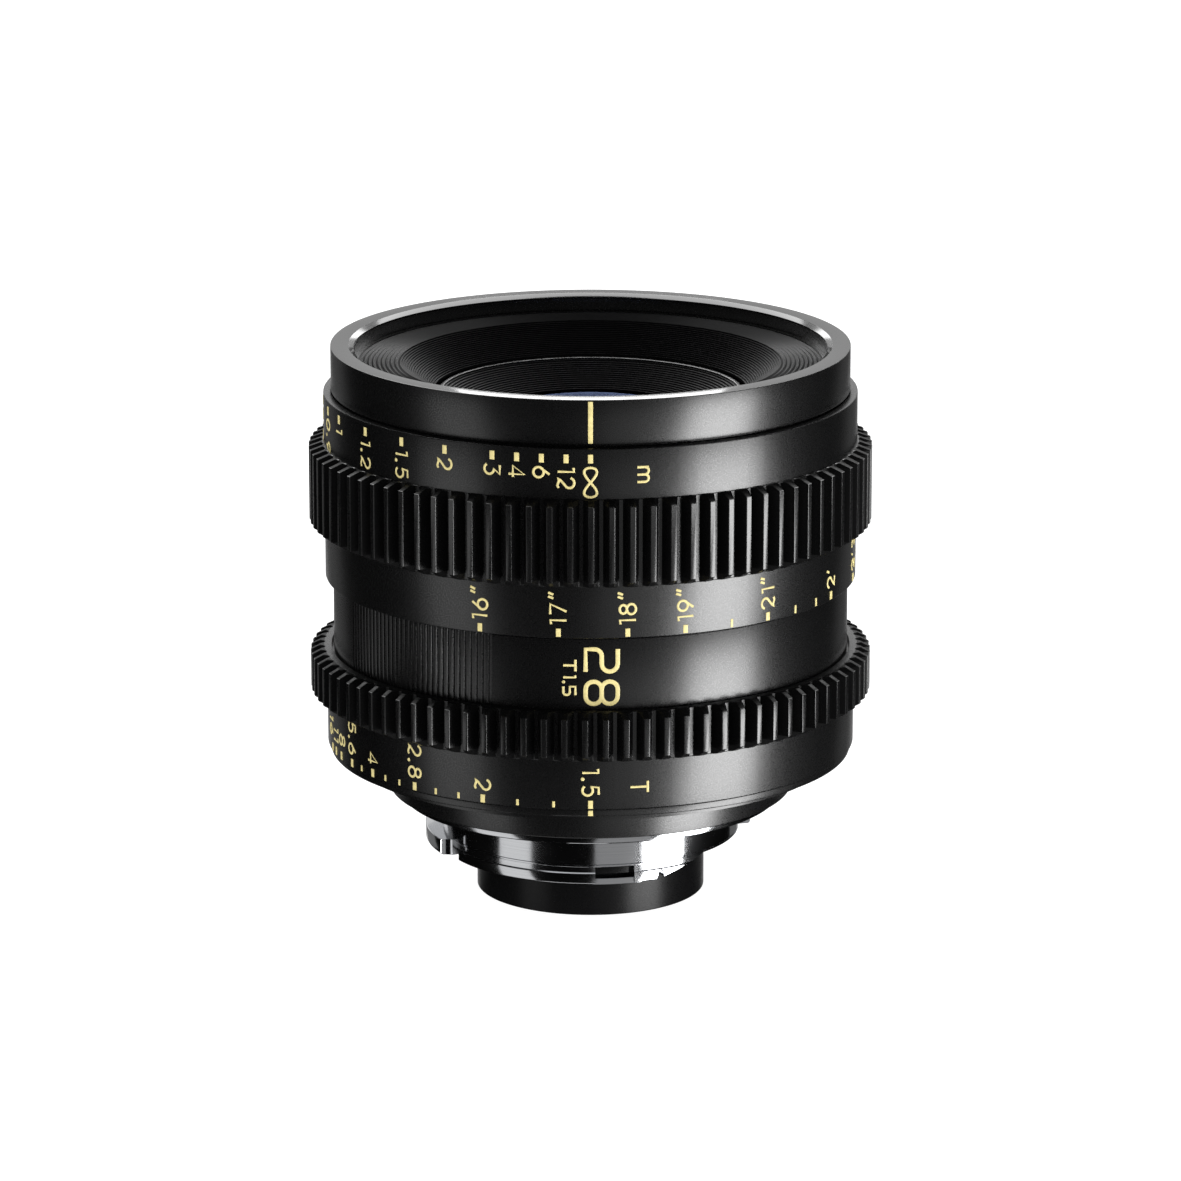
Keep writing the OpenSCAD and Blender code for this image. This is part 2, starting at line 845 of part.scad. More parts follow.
// Drive ring: radial slots move the blade tips, a fork in the rim takes the aperture pin.
module iris_drive_ring() {
    slot = tip_pin + 0.32;
    color(brass)
        difference() {
            rotate_extrude()
                polygon([
                    [stop_radius + 0.5, z_drive_0],
                    [r_pin_end - 0.3, z_drive_0],
                    [r_pin_end - 0.3, z_rim_0],
                    [r_iris_bore - run_fit, z_rim_0],
                    [r_iris_bore - run_fit, z_drive_1],
                    [stop_radius + 0.5, z_drive_1]
                ]);
            for (i = [0 : blade_count - 1])
                rotate([0, 0, i * 360 / blade_count + blade_span]) {
                    translate([r_slot_in - 0.1, 0, z_drive_0 - 1])
                        cylinder(r = slot, h = 4, $fn = 24);
                    translate([r_pivot + 0.1, 0, z_drive_0 - 1])
                        cylinder(r = slot, h = 4, $fn = 24);
                    translate([r_slot_in - 0.1, -slot, z_drive_0 - 1])
                        cube([r_pivot - r_slot_in + 0.2, 2 * slot, 4]);
                }
            rotate([0, 0, a_pin])
                translate([r_pin_end - 1, -r_pin - run_fit, z_rim_0 - 1])
                    cube([3, 2 * (r_pin + run_fit), z_pin + r_pin + face_gap - z_rim_0 + 1]);
        }
}

// Curved blade on a shallow helix, so that neighbours never meet; pivot pin up, tip pin down.
module iris_blade(index) {
    z_tip = z_blade - blade_ramp * blade_span;
    color([0.1, 0.1, 0.1])
        rotate([0, 0, index * 360 / blade_count]) {
            ribbon([for (i = [0 : blade_steps])
                let (
                    turn = (blade_span + 2 * blade_cap) * i / blade_steps - blade_cap,
                    over = max(0, -turn, turn - blade_span) / (blade_cap + 0.4),
                    half = blade_half * sqrt(1 - over * over),
                    z = z_blade - blade_ramp * turn
                )
                    [turn, r_pivot - half, r_pivot + half,
                        z - blade_thickness / 2, z + blade_thickness / 2]
            ]);
            translate([r_pivot, 0, z_blade])
                cylinder(r = pivot_pin, h = z_base_0 - z_blade + 1, $fn = 24);
            rotate([0, 0, blade_span])
                translate([r_pivot, 0, z_drive_1 - 1])
                    cylinder(r = tip_pin, h = z_tip - z_drive_1 + 1, $fn = 24);
        }
}
module iris_blade_01() { iris_blade(0); }
module iris_blade_02() { iris_blade(1); }
module iris_blade_03() { iris_blade(2); }
module iris_blade_04() { iris_blade(3); }
module iris_blade_05() { iris_blade(4); }
module iris_blade_06() { iris_blade(5); }
module iris_blade_07() { iris_blade(6); }
module iris_blade_08() { iris_blade(7); }
module iris_blade_09() { iris_blade(8); }
module iris_blade_10() { iris_blade(9); }

module rear_cell() {
    color(satin)
        difference() {
            rotate_extrude()
                polygon([
                    [r_rear_glass, z_rear_end],
                    [r_rear_cell, z_rear_end],
                    [r_rear_cell, z_carriage_0 - 1.8],
                    [r_carriage - 1, z_carriage_0 - 1.8],
                    [r_carriage - 1, z_carriage_0],
                    [r_iris_bore, z_carriage_0],
                    [r_iris_bore, z_upstand],
                    [r_iris_bore - 1.5, z_upstand],
                    [r_iris_bore - 1.5, z_carriage_0],
                    [r_rear_cell, z_carriage_0],
                    [r_rear_cell, z_rear_lip],
                    [r_rear_glass - rear_spacer_wall, z_rear_lip],
                    [r_rear_glass - rear_spacer_wall, z_d2_1],
                    [r_rear_glass, z_d2_1]
                ]);
            cell_screw_set();
        }
}

// Screws that hold the rear cell to the carriage tube.
module cell_screw_set() {
    for (i = [0 : 2])
        rotate([0, 0, 210 + i * 120])
            translate([r_cell_screw, 0, z_carriage_0]) {
                translate([0, 0, -1.8])
                    cylinder(r = 0.95, h = 0.9, $fn = 24);
                translate([0, 0, -1])
                    cylinder(r = 0.6, h = 4, $fn = 24);
            }
}
module rear_cell_screws() {
    color(steel)
        cell_screw_set();
}

module rear_doublet_crown() {
    color(clear)
        intersection() {
            blank(r_rear_glass, z_d2_0, z_d2_1, 0, 0, d2_front, r_rear_clear);
            cement(d2_cement, r_rear_glass, z_d2_mid);
        }
}
module rear_doublet_flint() {
    color(clear)
        difference() {
            blank(r_rear_glass, z_d2_0, z_d2_mid, -d2_back, r_rear_hollow, 0, 0);
            cement(d2_cement, r_rear_glass, z_d2_mid);
        }
}
module spacer_4() {
    color(black)
        ring(r_rear_glass, r_rear_glass - rear_spacer_wall, z_e6_1, z_d2_0);
}
module element_6() {
    color(clear)
        blank(r_rear_glass, z_e6_0, z_e6_1, e6_back, r_rear_clear, e6_front, r_rear_clear);
}
module spacer_5() {
    color(black)
        ring(r_rear_glass, r_rear_glass - rear_spacer_wall, z_e7_1, z_e6_0);
}
module rear_element() {
    color(clear)
        blank(r_rear_glass, z_e7_0, z_e7_1, e7_back, r_rear_clear, -e7_front, r_rear_hollow);
}
module rear_retainer() {
    color(black)
        ring(r_rear_glass, r_rear_glass - rear_spacer_wall, z_rear_end, z_e7_0);
}

module aperture_ring() {
    color(black)
        difference() {
            union() {
                rotate_extrude()
                    polygon([
                        [r_tube_out + run_fit, z_ap_0],
                        [r_t_band - edge, z_ap_0],
                        [r_t_band, z_ap_0 + edge],
                        [r_t_band, z_ap_1],
                        [r_socket, z_ap_1],
                        [r_socket, z_barrel_0 - body_gap],
                        [r_tube_out + run_fit, z_barrel_0 - body_gap]
                    ]);
                gear(z_ap_gear, z_ap_1, [r_root + 0.1, 0.95], [r_root + 0.6, 0.6], 1);
            }
            aperture_pin_shape(r_tip + 1);
        }
}

// Headed pin from the aperture ring to the fork of the drive ring.
module aperture_pin_shape(reach) {
    spoke(r_pin, r_pin_end, r_tube_out + 1.6, a_pin, z_pin);
    spoke(1.5, r_tube_out + 1.5, reach, a_pin, z_pin);
}
module aperture_pin() {
    color(steel)
        aperture_pin_shape(r_pin_head);
}

front_ring();
front_baffle();
main_tube();
fixed_barrel();
barrel_keys();
focus_thrust_washer();
aperture_index_ring();
rear_cover();
cover_screws();
mount_shim();
bayonet_mount();
mount_screws();
rear_tube();
focus_ring();
focus_cam_sleeve();
focus_keys();
lens_barrel();
focus_follower();
guide_rollers();
front_cell();
front_retainer();
front_element();
spacer_1();
element_2();
spacer_2();
element_3();
spacer_3();
front_doublet_crown();
front_doublet_flint();
iris_base();
rear_cell();
rear_cell_screws();
rear_doublet_crown();
rear_doublet_flint();
spacer_4();
element_6();
spacer_5();
rear_element();
rear_retainer();
aperture_ring();
aperture_pin();
iris_drive_ring();
iris_blade_01();
iris_blade_02();
iris_blade_03();
iris_blade_04();
iris_blade_05();
iris_blade_06();
iris_blade_07();
iris_blade_08();
iris_blade_09();
iris_blade_10();
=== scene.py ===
"""Cinema prime lens: its visible pieces, their finishes and the studio round them."""

import math
from math import cos, pi, radians, sin

import bmesh
import bpy
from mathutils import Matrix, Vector


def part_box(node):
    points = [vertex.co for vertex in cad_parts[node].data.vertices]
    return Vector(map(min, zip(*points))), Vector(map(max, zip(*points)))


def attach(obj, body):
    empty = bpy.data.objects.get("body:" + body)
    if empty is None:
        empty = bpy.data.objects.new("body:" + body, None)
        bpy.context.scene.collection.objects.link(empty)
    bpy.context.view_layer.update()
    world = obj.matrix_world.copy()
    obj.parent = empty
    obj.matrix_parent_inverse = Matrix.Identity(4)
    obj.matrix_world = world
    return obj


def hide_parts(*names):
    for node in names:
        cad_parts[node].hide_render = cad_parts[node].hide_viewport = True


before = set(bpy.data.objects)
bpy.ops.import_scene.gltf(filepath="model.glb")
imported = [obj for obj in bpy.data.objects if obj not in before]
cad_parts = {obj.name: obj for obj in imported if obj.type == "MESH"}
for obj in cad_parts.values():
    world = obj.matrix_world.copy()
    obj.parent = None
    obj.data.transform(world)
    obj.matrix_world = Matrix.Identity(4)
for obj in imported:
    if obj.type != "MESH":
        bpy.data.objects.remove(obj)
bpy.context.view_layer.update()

bl_info = {
    "name": "Cinema Prime Lens",
    "version": (1, 0, 0),
    "blender": (4, 5, 0),
    "location": "View3D > Sidebar > Lens",
    "description": "Models the rings, mount, glass and marks of a geared cinema lens",
    "category": "Object",
}

# Lengths are in millimetres and angles in degrees until they reach Blender
MM = 0.001
TURN = 2 * pi
ROUND_STEPS = 240
FULL = 360
TINY = 0.004
SMOOTH = 30
PLAIN_STEP = 1.5


def reach(node):
    """Radius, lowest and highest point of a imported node, in millimetres."""
    low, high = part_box(node)
    return max(high[0], -low[0]) / MM, low[2] / MM, high[2] / MM


FOCUS_TIP, FOCUS_LOW, FOCUS_HIGH = reach("focus_ring")
STOP_TIP, STOP_LOW, STOP_HIGH = reach("aperture_ring")
BARREL_RADIUS, BARREL_LOW, BARREL_HIGH = reach("fixed_barrel")
RIM_RADIUS, RIM_LOW, RIM_HIGH = reach("front_ring")
INDEX_RADIUS, INDEX_LOW, INDEX_HIGH = reach("aperture_index_ring")
COVER_RADIUS, COVER_LOW, COVER_HIGH = reach("rear_cover")
TUBE_RADIUS, TUBE_LOW, TUBE_HIGH = reach("rear_tube")
FLANGE_RADIUS, NECK_LOW, HUB_HIGH = reach("bayonet_mount")


def length_property(label, words, millimetres):
    """A length that a user would change, given in millimetres."""
    return bpy.props.FloatProperty(
        name=label, description=words, default=millimetres * MM, min=0,
        precision=5, subtype="DISTANCE", unit="LENGTH")


def colour_property(label, words, colour):
    """A colour that a user would change."""
    return bpy.props.FloatVectorProperty(
        name=label, description=words, default=colour, size=3, min=0, max=1, subtype="COLOR")


class LensSizes(bpy.types.PropertyGroup):
    """Sizes of the lens that show from outside."""

    teeth: bpy.props.IntProperty(
        name="Teeth", description="Teeth on each gear ring", default=88, min=20, max=200)
    tooth_depth: length_property("Tooth depth", "Height of a tooth above its gap", 1.8)
    tooth_land: length_property("Tooth land", "Width of the flat on top of a tooth", 0.68)
    tooth_foot: length_property("Tooth foot", "Width of a tooth at its gap", 1.98)
    tooth_edge: length_property("Tooth edge", "Rounding along the edges of a tooth", 0.04)
    edge_break: length_property("Edge break", "Rounding along the outer edges of the rings", 0.15)
    distance_band: length_property("Distance band", "Radius of the metre scale", 34.05)
    feet_band: length_property("Feet band", "Radius of the feet scale", 34)
    stop_band: length_property("Stop band", "Radius of the aperture scale", 33.9)
    grip_grooves: bpy.props.IntProperty(
        name="Grip grooves", description="Grooves in each grip patch", default=31, min=3, max=61)
    grip_depth: length_property("Grip depth", "Depth of a grip groove", 0.23)
    filter_radius: length_property("Filter radius", "Radius of the filter bore", 30.15)
    mark_height: length_property(
        "Mark height", "Height of the scale digits along their middle line", 2.02)
    mark_stroke: length_property("Mark stroke", "Stroke of the scale digits", 0.31)
    mark_relief: length_property("Mark relief", "Height of the marks above the metal", 0.06)


class LensColours(bpy.types.PropertyGroup):
    """Colours of the lens and of the studio floor."""

    anodised: colour_property("Anodised black", "Rings and barrel", (0.0025, 0.0025, 0.0026))
    baffle: colour_property("Baffle black", "Ribbed front end", (0.0018, 0.0018, 0.002))
    satin: colour_property("Satin black", "Rear tube and cells", (0.0028, 0.0028, 0.003))
    chrome: colour_property("Chrome", "Bayonet", (0.72, 0.73, 0.75))
    steel: colour_property("Steel", "Screws and rollers", (0.50, 0.50, 0.51))
    blade: colour_property("Blade steel", "Iris blades", (0.035, 0.036, 0.040))
    brass: colour_property("Brass", "Shim and keys", (0.60, 0.42, 0.17))
    washer: colour_property("Washer", "Slip washer", (0.30, 0.17, 0.08))
    marks: colour_property("Marks", "Scales, digits and index lines", (0.68, 0.58, 0.25))
    coating: colour_property("Coating", "Tint of the reflection on the glass", (0.05, 0.07, 0.16))
    # Painted reflection: tint of the bluish sheen laid on the glass at a slant
    haze: colour_property("Haze", "Tint of the glass seen at a slant", (0.42, 0.55, 1))
    floor: colour_property("Floor", "Studio floor", (0.30, 0.30, 0.30))


def mm(key):
    """One of the sizes in millimetres."""
    return getattr(bpy.context.scene.lens_sizes, key) / MM


# Finishes

# Noise: grains to the metre, detail, and whether it runs in lines round the axis
CLOUDS, SPECKS, TOOL_LINES = (90, 4, False), (6500, 2, False), (9000, 3, True)
SMEARS, BRIGHT_LINES = (160, 4, False), (5000, 3, True)
PATCHES, ENAMEL_GRAIN = (1800, 3, False), (7000, 2, False)
GLASS_SMEARS, FLOOR_CLOUDS = (260, 3, False), (3, 2, False)
NOISE_ROUGHNESS, DARK, LIGHT = 0.6, 0.3, 0.7
MICROMETRE = MM * 0.001
FINISHES = {}


class Finish:
    """A material with one Principled shader, varied by noise on the object's coordinates."""

    def __init__(self, name):
        self.material = FINISHES[name] = bpy.data.materials.new(name)
        self.material.use_nodes = True
        self.tree = self.material.node_tree
        self.tree.nodes.clear()
        self.shader = self.add("BsdfPrincipled", {})
        self.add("OutputMaterial", {"Surface": self.shader.outputs["BSDF"]})
        self.places = self.add("TexCoord", {}).outputs["Object"]

    def add(self, kind, inputs):
        """A new node with its inputs set."""
        node = self.tree.nodes.new("ShaderNode" + kind)
        self.feed(node, inputs)
        return node

    def feed(self, node, inputs):
        """Set a node's inputs: a socket is linked, a value becomes the default."""
        for key, value in inputs.items():
            if isinstance(value, bpy.types.NodeSocket):
                self.tree.links.new(value, node.inputs[key])
            else:
                node.inputs[key].default_value = value

    def radius_and_height(self):
        """Sockets with the distance from the axis and the height along it."""
        split = self.add("SeparateXYZ", {"Vector": self.places}).outputs
        flat = self.add("CombineXYZ", {"X": split["X"], "Y": split["Y"]})
        across = self.add("VectorMath", {0: flat.outputs["Vector"]})
        across.operation = "LENGTH"
        return across.outputs["Value"], split["Z"]

    def grain(self, scale, detail, lines):
        vector = self.places
        if lines:
            radius, height = self.radius_and_height()
            vector = self.add("CombineXYZ", {"X": radius, "Z": height}).outputs["Vector"]
        return self.add("TexNoise", {
            "Scale": scale, "Detail": detail, "Roughness": NOISE_ROUGHNESS,
            "Vector": vector}).outputs["Fac"]

    def colours(self, noise, colour, low, high):
        """Run the base colour between two shades of a colour."""
        ramp = self.add("ValToRGB", {"Fac": self.grain(*noise)})
        for step, place, amount in zip(ramp.color_ramp.elements, (DARK, LIGHT), (low, high)):
            step.position = place
            step.color = (*(min(1, part * amount) for part in colour), 1)
        self.feed(self.shader, {"Base Color": ramp.outputs["Color"]})

    def gloss(self, noise, low, high):
        """Run the roughness between two values."""
        span = self.add("MapRange", {
            "From Min": DARK, "From Max": LIGHT, "To Min": low, "To Max": high,
            "Value": self.grain(*noise)})
        self.feed(self.shader, {"Roughness": span.outputs["Result"]})

    def relief(self, noise, strength, depth):
        """Bump the surface by a height in micrometres."""
        bump = self.add("Bump", {
            "Strength": strength, "Distance": depth * MICROMETRE, "Height": self.grain(*noise)})
        normal = self.shader.inputs["Normal"]
        if normal.links:
            self.feed(bump, {"Normal": normal.links[0].from_socket})
        self.feed(self.shader, {"Normal": bump.outputs["Normal"]})


def metal_black(name, colour, roughness, specular, grain_depth, lines_depth=0):
    """Black finish on metal: blasted grain, faint cloudiness and optional turning lines."""
    finish = Finish(name)
    finish.colours(CLOUDS, colour, 0.8, 1.25)
    finish.gloss(SPECKS, roughness * 0.85, roughness * 1.15)
    finish.feed(finish.shader, {"Specular IOR Level": specular})
    if lines_depth:
        finish.relief(TOOL_LINES, 0.6, lines_depth)
    finish.relief(SPECKS, 0.7, grain_depth)
    return finish


def dull_flanks(finish, root, tip):
    """Take the gloss from the flanks of gear teeth, between root and tip."""
    gloss, dull, margin = 1, 0.1, 0.5
    first, last = root - margin, tip + margin
    span = finish.add("MapRange", {
        "From Min": first * MM, "From Max": last * MM, "Value": finish.radius_and_height()[0]})
    ramp = finish.add("ValToRGB", {"Fac": span.outputs["Result"]})
    steps = ramp.color_ramp.elements
    for radius, level in ((root + 0.03, gloss), (root + 0.1, dull), (tip - 0.12, dull),
                          (tip - 0.05, gloss)):
        steps.new((radius - first) / (last - first)).color = (level, level, level, 1)
    steps.remove(steps[0])
    steps.remove(steps[-1])
    finish.feed(finish.shader, {"Specular IOR Level": ramp.outputs["Color"]})


def bare_metal(name, colour, roughness, lines_depth):
    """Turned bright metal with fine lines round the axis."""
    finish = Finish(name)
    finish.colours(BRIGHT_LINES, colour, 0.93, 1.05)
    finish.gloss(SMEARS, roughness * 0.8, roughness * 1.25)
    finish.feed(finish.shader, {"Metallic": 1})
    finish.relief(BRIGHT_LINES, 0.5, lines_depth)


def clear_glass(name, tint, painted_sheen_tint):
    """Coated optical glass with a painted bluish sheen at a slant, which stands in for a
    reflection; faint smears change its gloss.
    """
    finish = Finish(name)
    # Painted reflection: a bluish sheen that grows as the face turns away from view, in place of
    # the studio seen in the glass
    slant = finish.add("LayerWeight", {})
    haze = finish.add("MapRange", {
        "From Min": 0.5, "From Max": 0.8, "To Max": 0.7, "Value": slant.outputs["Facing"]})
    finish.feed(finish.shader, {
        "Base Color": (0.96, 0.97, 0.98, 1), "IOR": 1.58, "Transmission Weight": 1,
        "Specular Tint": (*tint, 1), "Sheen Weight": haze.outputs["Result"],
        "Sheen Roughness": 0.3, "Sheen Tint": (*painted_sheen_tint, 1)})
    finish.gloss(GLASS_SMEARS, 0, 0.03)


def enamel(name, colour):
    """Filled marks: a pale enamel with a soft gloss and slight unevenness."""
    finish = Finish(name)
    finish.colours(PATCHES, colour, 0.86, 1.1)
    finish.gloss(PATCHES, 0.30, 0.44)
    finish.relief(ENAMEL_GRAIN, 0.4, 6)


def studio_white(name, colour):
    """Pale seamless floor that glows, so that it stays white round the lens."""
    finish = Finish(name)
    finish.colours(FLOOR_CLOUDS, colour, 0.99, 1.01)
    finish.feed(finish.shader, {
        "Roughness": 0.9, "Specular IOR Level": 0.1, "Emission Color": (1, 1, 1, 1),
        "Emission Strength": 0.92})


def make_finishes():
    """All the finishes, by their names."""
    c = bpy.context.scene.lens_colours
    metal_black("black_anodised", c.anodised, 0.29, 1, 1.5)
    gear = metal_black("black_gear", c.anodised, 0.29, 1, 1.5)
    dull_flanks(gear, FOCUS_TIP - mm("tooth_depth"), FOCUS_TIP)
    metal_black("black_baffle", c.baffle, 0.36, 0.13, 2, 2)
    metal_black("black_satin", c.satin, 0.30, 0.22, 1.5, 1)
    metal_black("black_polished", c.anodised, 0.12, 1, 0.3)
    metal_black("washer", c.washer, 0.55, 0.4, 5)
    bare_metal("chrome", c.chrome, 0.12, 0.8)
    bare_metal("steel", c.steel, 0.28, 3)
    bare_metal("blade_steel", c.blade, 0.42, 2)
    bare_metal("brass", c.brass, 0.30, 3)
    # The glass carries a painted reflection as a bluish sheen at a slant
    clear_glass("glass", c.coating, c.haze)
    enamel("marks", c.marks)
    studio_white("studio_white", c.floor)


# Modelling


def spot(corner):
    """Radius and height of a corner in millimetres."""
    x, y, z = corner.co
    return math.hypot(x, y) / MM, z / MM


def select_all(action="SELECT"):
    bpy.ops.mesh.select_all(action=action)


def select_parts(mode, parts, test):
    """Select the corners or edges of the mesh being edited that pass test."""
    bpy.ops.mesh.select_mode(type=mode)
    select_all("DESELECT")
    mesh = bmesh.from_edit_mesh(bpy.context.edit_object.data)
    for part in getattr(mesh, parts):
        part.select = test(part)
    mesh.select_flush_mode()
    bmesh.update_edit_mesh(bpy.context.edit_object.data)


def select_corners(test):
    select_parts("VERT", "verts", test)


def select_edges(test):
    """Select the edges whose two ends pass test."""
    select_parts("EDGE", "edges", lambda border: test(*border.verts))


def spin(steps, degrees, copies=False):
    """Spin the selection round the axis, counter-clockwise seen from the front."""
    bpy.ops.mesh.spin(steps=steps, angle=-radians(degrees), dupli=copies,
                      center=(0, 0, 0), axis=(0, 0, 1))


def rename(piece, name):
    piece.name = name
    piece.data.name = name


def discard(piece):
    """Delete an object and its mesh."""
    mesh = piece.data
    bpy.data.objects.remove(piece)
    bpy.data.meshes.remove(mesh)


def fix_place():
    """Write the place and the turn of the active object into its mesh."""
    bpy.ops.object.transform_apply(location=True, rotation=True, scale=True)


def new_object(name):
    """A new object in edit mode that holds one corner at the origin."""
    if bpy.context.object and bpy.context.object.mode != "OBJECT":
        bpy.ops.object.mode_set(mode="OBJECT")
    bpy.ops.object.select_all(action="DESELECT")
    bpy.ops.mesh.primitive_plane_add(size=MM)
    piece = bpy.context.active_object
    rename(piece, name)
    bpy.ops.object.mode_set(mode="EDIT")
    bpy.ops.mesh.select_mode(type="VERT")
    bpy.ops.mesh.merge(type="CENTER")
    return piece


def draw_line(points):
    """Run the selected corner along the points, given as x and z in millimetres."""
    x0, z0 = 0, 0
    for step, (x1, z1) in enumerate(points):
        shift = ((x1 - x0) * MM, 0, (z1 - z0) * MM)
        if step:
            bpy.ops.mesh.extrude_region_move(TRANSFORM_OT_translate={"value": shift})
        else:
            bpy.ops.transform.translate(value=shift)
        x0, z0 = x1, z1


def break_corners(outline):
    """Round the drawn corners that carry a size."""
    for size in sorted({point[2] for point in outline if len(point) > 2 and point[2]}):
        spots = [point[:2] for point in outline if len(point) > 2 and point[2] == size]
        select_corners(lambda corner: any(
            abs(corner.co.x / MM - x) < TINY and abs(corner.co.z / MM - z) < TINY
            for x, z in spots))
        bpy.ops.mesh.bevel(offset=size * MM, segments=3, affect="VERTICES", clamp_overlap=False)


def draw_outline(name, outline, closed=True, filled=False):
    """A new object with an outline drawn in it and its corners rounded, all selected."""
    piece = new_object(name)
    draw_line([point[:2] for point in outline])
    select_all()
    if closed:
        bpy.ops.mesh.edge_face_add()
        break_corners(outline)
        select_all()
        if not filled:
            bpy.ops.mesh.delete(type="ONLY_FACE")
            select_all()
    return piece


def close_mesh(smooth=SMOOTH):
    """Merge the seams, turn the faces outwards and leave edit mode with smooth shading."""
    bpy.ops.mesh.select_mode(type="VERT")
    select_all()
    bpy.ops.mesh.remove_doubles(threshold=TINY * MM * 0.5)
    select_all()
    bpy.ops.mesh.normals_make_consistent(inside=False)
    bpy.ops.object.mode_set(mode="OBJECT")
    bpy.ops.object.shade_smooth_by_angle(angle=radians(smooth))


def turned(name, outline, smooth=SMOOTH, steps=ROUND_STEPS, closed=True):
    """A piece turned from its outline: (radius, height) or (radius, height, rounding)."""
    piece = draw_outline(name, outline, closed)
    spin(steps, -FULL)
    close_mesh(smooth)
    return piece


def part_turned(name, outline, start, sweep, steps):
    """A closed piece turned through a part of a circle, from start by sweep degrees."""
    piece = draw_outline(name, outline, filled=True)
    spin(steps, sweep)
    close_mesh()
    piece.rotation_euler.z = radians(start)
    fix_place()
    return piece


def pitched(name, outline, stations, count, start, edges=None, plain=0, repeats=1,
            smooth=SMOOTH):
    """A ring with teeth or grooves.

    The outline's points are (radius, height, rounding, changed radius). One pitch is swept
    through the stations, (turn, share) in degrees, where share moves each point towards its
    changed radius. The pitch is copied count times, followed by a plain stretch in degrees,
    and all that is repeated round the axis.
    """
    piece = draw_outline(name, outline)
    moving = [(point[0], point[1], point[3]) for point in outline if len(point) > 3]
    for (turn_0, share_0), (turn_1, share_1) in zip(stations, stations[1:]):
        spin(1, turn_1 - turn_0)
        if share_0 == share_1:
            continue
        mesh = bmesh.from_edit_mesh(piece.data)
        column = {corner.index for corner in mesh.verts if corner.select}
        for radius, height, changed in moving:
            was = radius + share_0 * (changed - radius)
            now = radius + share_1 * (changed - radius)
            select_corners(lambda corner: corner.index in column
                           and abs(spot(corner)[0] - was) < TINY
                           and abs(spot(corner)[1] - height) < TINY)
            bpy.ops.transform.resize(value=(now / was, now / was, 1), center_override=(0, 0, 0))
        select_corners(lambda corner: corner.index in column)
    if edges:
        select_edges(edges)
        bpy.ops.mesh.bevel(offset=mm("tooth_edge") * MM, segments=2, affect="EDGES")
    pitch = stations[-1][0] - stations[0][0]
    bpy.ops.mesh.select_mode(type="VERT")
    select_all()
    spin(count - 1, pitch * (count - 1), copies=True)
    if plain:
        last = radians(pitch * count)
        select_corners(lambda corner: abs(math.remainder(
            math.atan2(corner.co.y, corner.co.x) - last, TURN)) < 1e-4)
        spin(int(plain / PLAIN_STEP), plain)
    if repeats > 1:
        select_all()
        spin(repeats - 1, FULL * (repeats - 1) / repeats, copies=True)
    close_mesh(smooth)
    piece.rotation_euler.z = radians(start)
    fix_place()
    return piece


def activate(piece):
    """Make a piece the only one selected."""
    bpy.ops.object.select_all(action="DESELECT")
    piece.select_set(True)
    bpy.context.view_layer.objects.active = piece


def combine(piece, tool, how):
    """Fuse a tool into a piece or cut it out, and delete the tool."""
    activate(piece)
    step = piece.modifiers.new("combine", "BOOLEAN")
    step.operation = how
    step.object = tool
    step.solver = "EXACT"
    bpy.ops.object.modifier_apply(modifier=step.name)
    discard(tool)


def copy_of(piece, name):
    """A copy with a mesh of its own."""
    twin = piece.copy()
    twin.data = piece.data.copy()
    rename(twin, name)
    bpy.context.collection.objects.link(twin)
    return twin


def joined(pieces, name):
    """Several objects as one."""
    bpy.ops.object.select_all(action="DESELECT")
    for piece in pieces:
        piece.select_set(True)
    bpy.context.view_layer.objects.active = pieces[0]
    bpy.ops.object.join()
    whole = bpy.context.active_object
    rename(whole, name)
    fix_place()
    return whole


def settle(piece, body, finish, *nodes, slot=None):
    """Give a piece its finish, its body and the nodes that it stands for."""
    piece.data.materials.clear()
    piece.data.materials.append(FINISHES[finish])
    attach(piece, body)
    if nodes:
        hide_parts(*nodes)


def ribs(start, end, count, share):
    """Steps cut down a cone from start to end, (radius, height) each."""
    step_r = (end[0] - start[0]) / count
    step_z = (end[1] - start[1]) / count
    points = []
    for i in range(count):
        points.append((start[0] + (i + share) * step_r, start[1] + (i + 1) * step_z))
        points.append((start[0] + (i + 1) * step_r, start[1] + (i + 1) * step_z))
    return points


def grooves(start, end, height, depth, count):
    """Shallow rings cut into a flat face between two radii."""
    step = (end - start) / count
    points = []
    for i in range(count):
        points.append((start + i * step, height))
        points.append((start + (i + 0.35) * step, height - depth))
        points.append((start + (i + 0.65) * step, height - depth))
    return points


# Front end

MAIN_BORE = 29.9
NOSE_RADIUS, GLASS_RADIUS, GLASS_SEAT = 19.4, 16, 50.4
FINE_SMOOTH, GROUND_SMOOTH, PACKED_SEAM = 20, 25, 2e-6
COLLAR, BAFFLE_FIT, BAFFLE_SEAT = 53.6, 0.6, 55.5


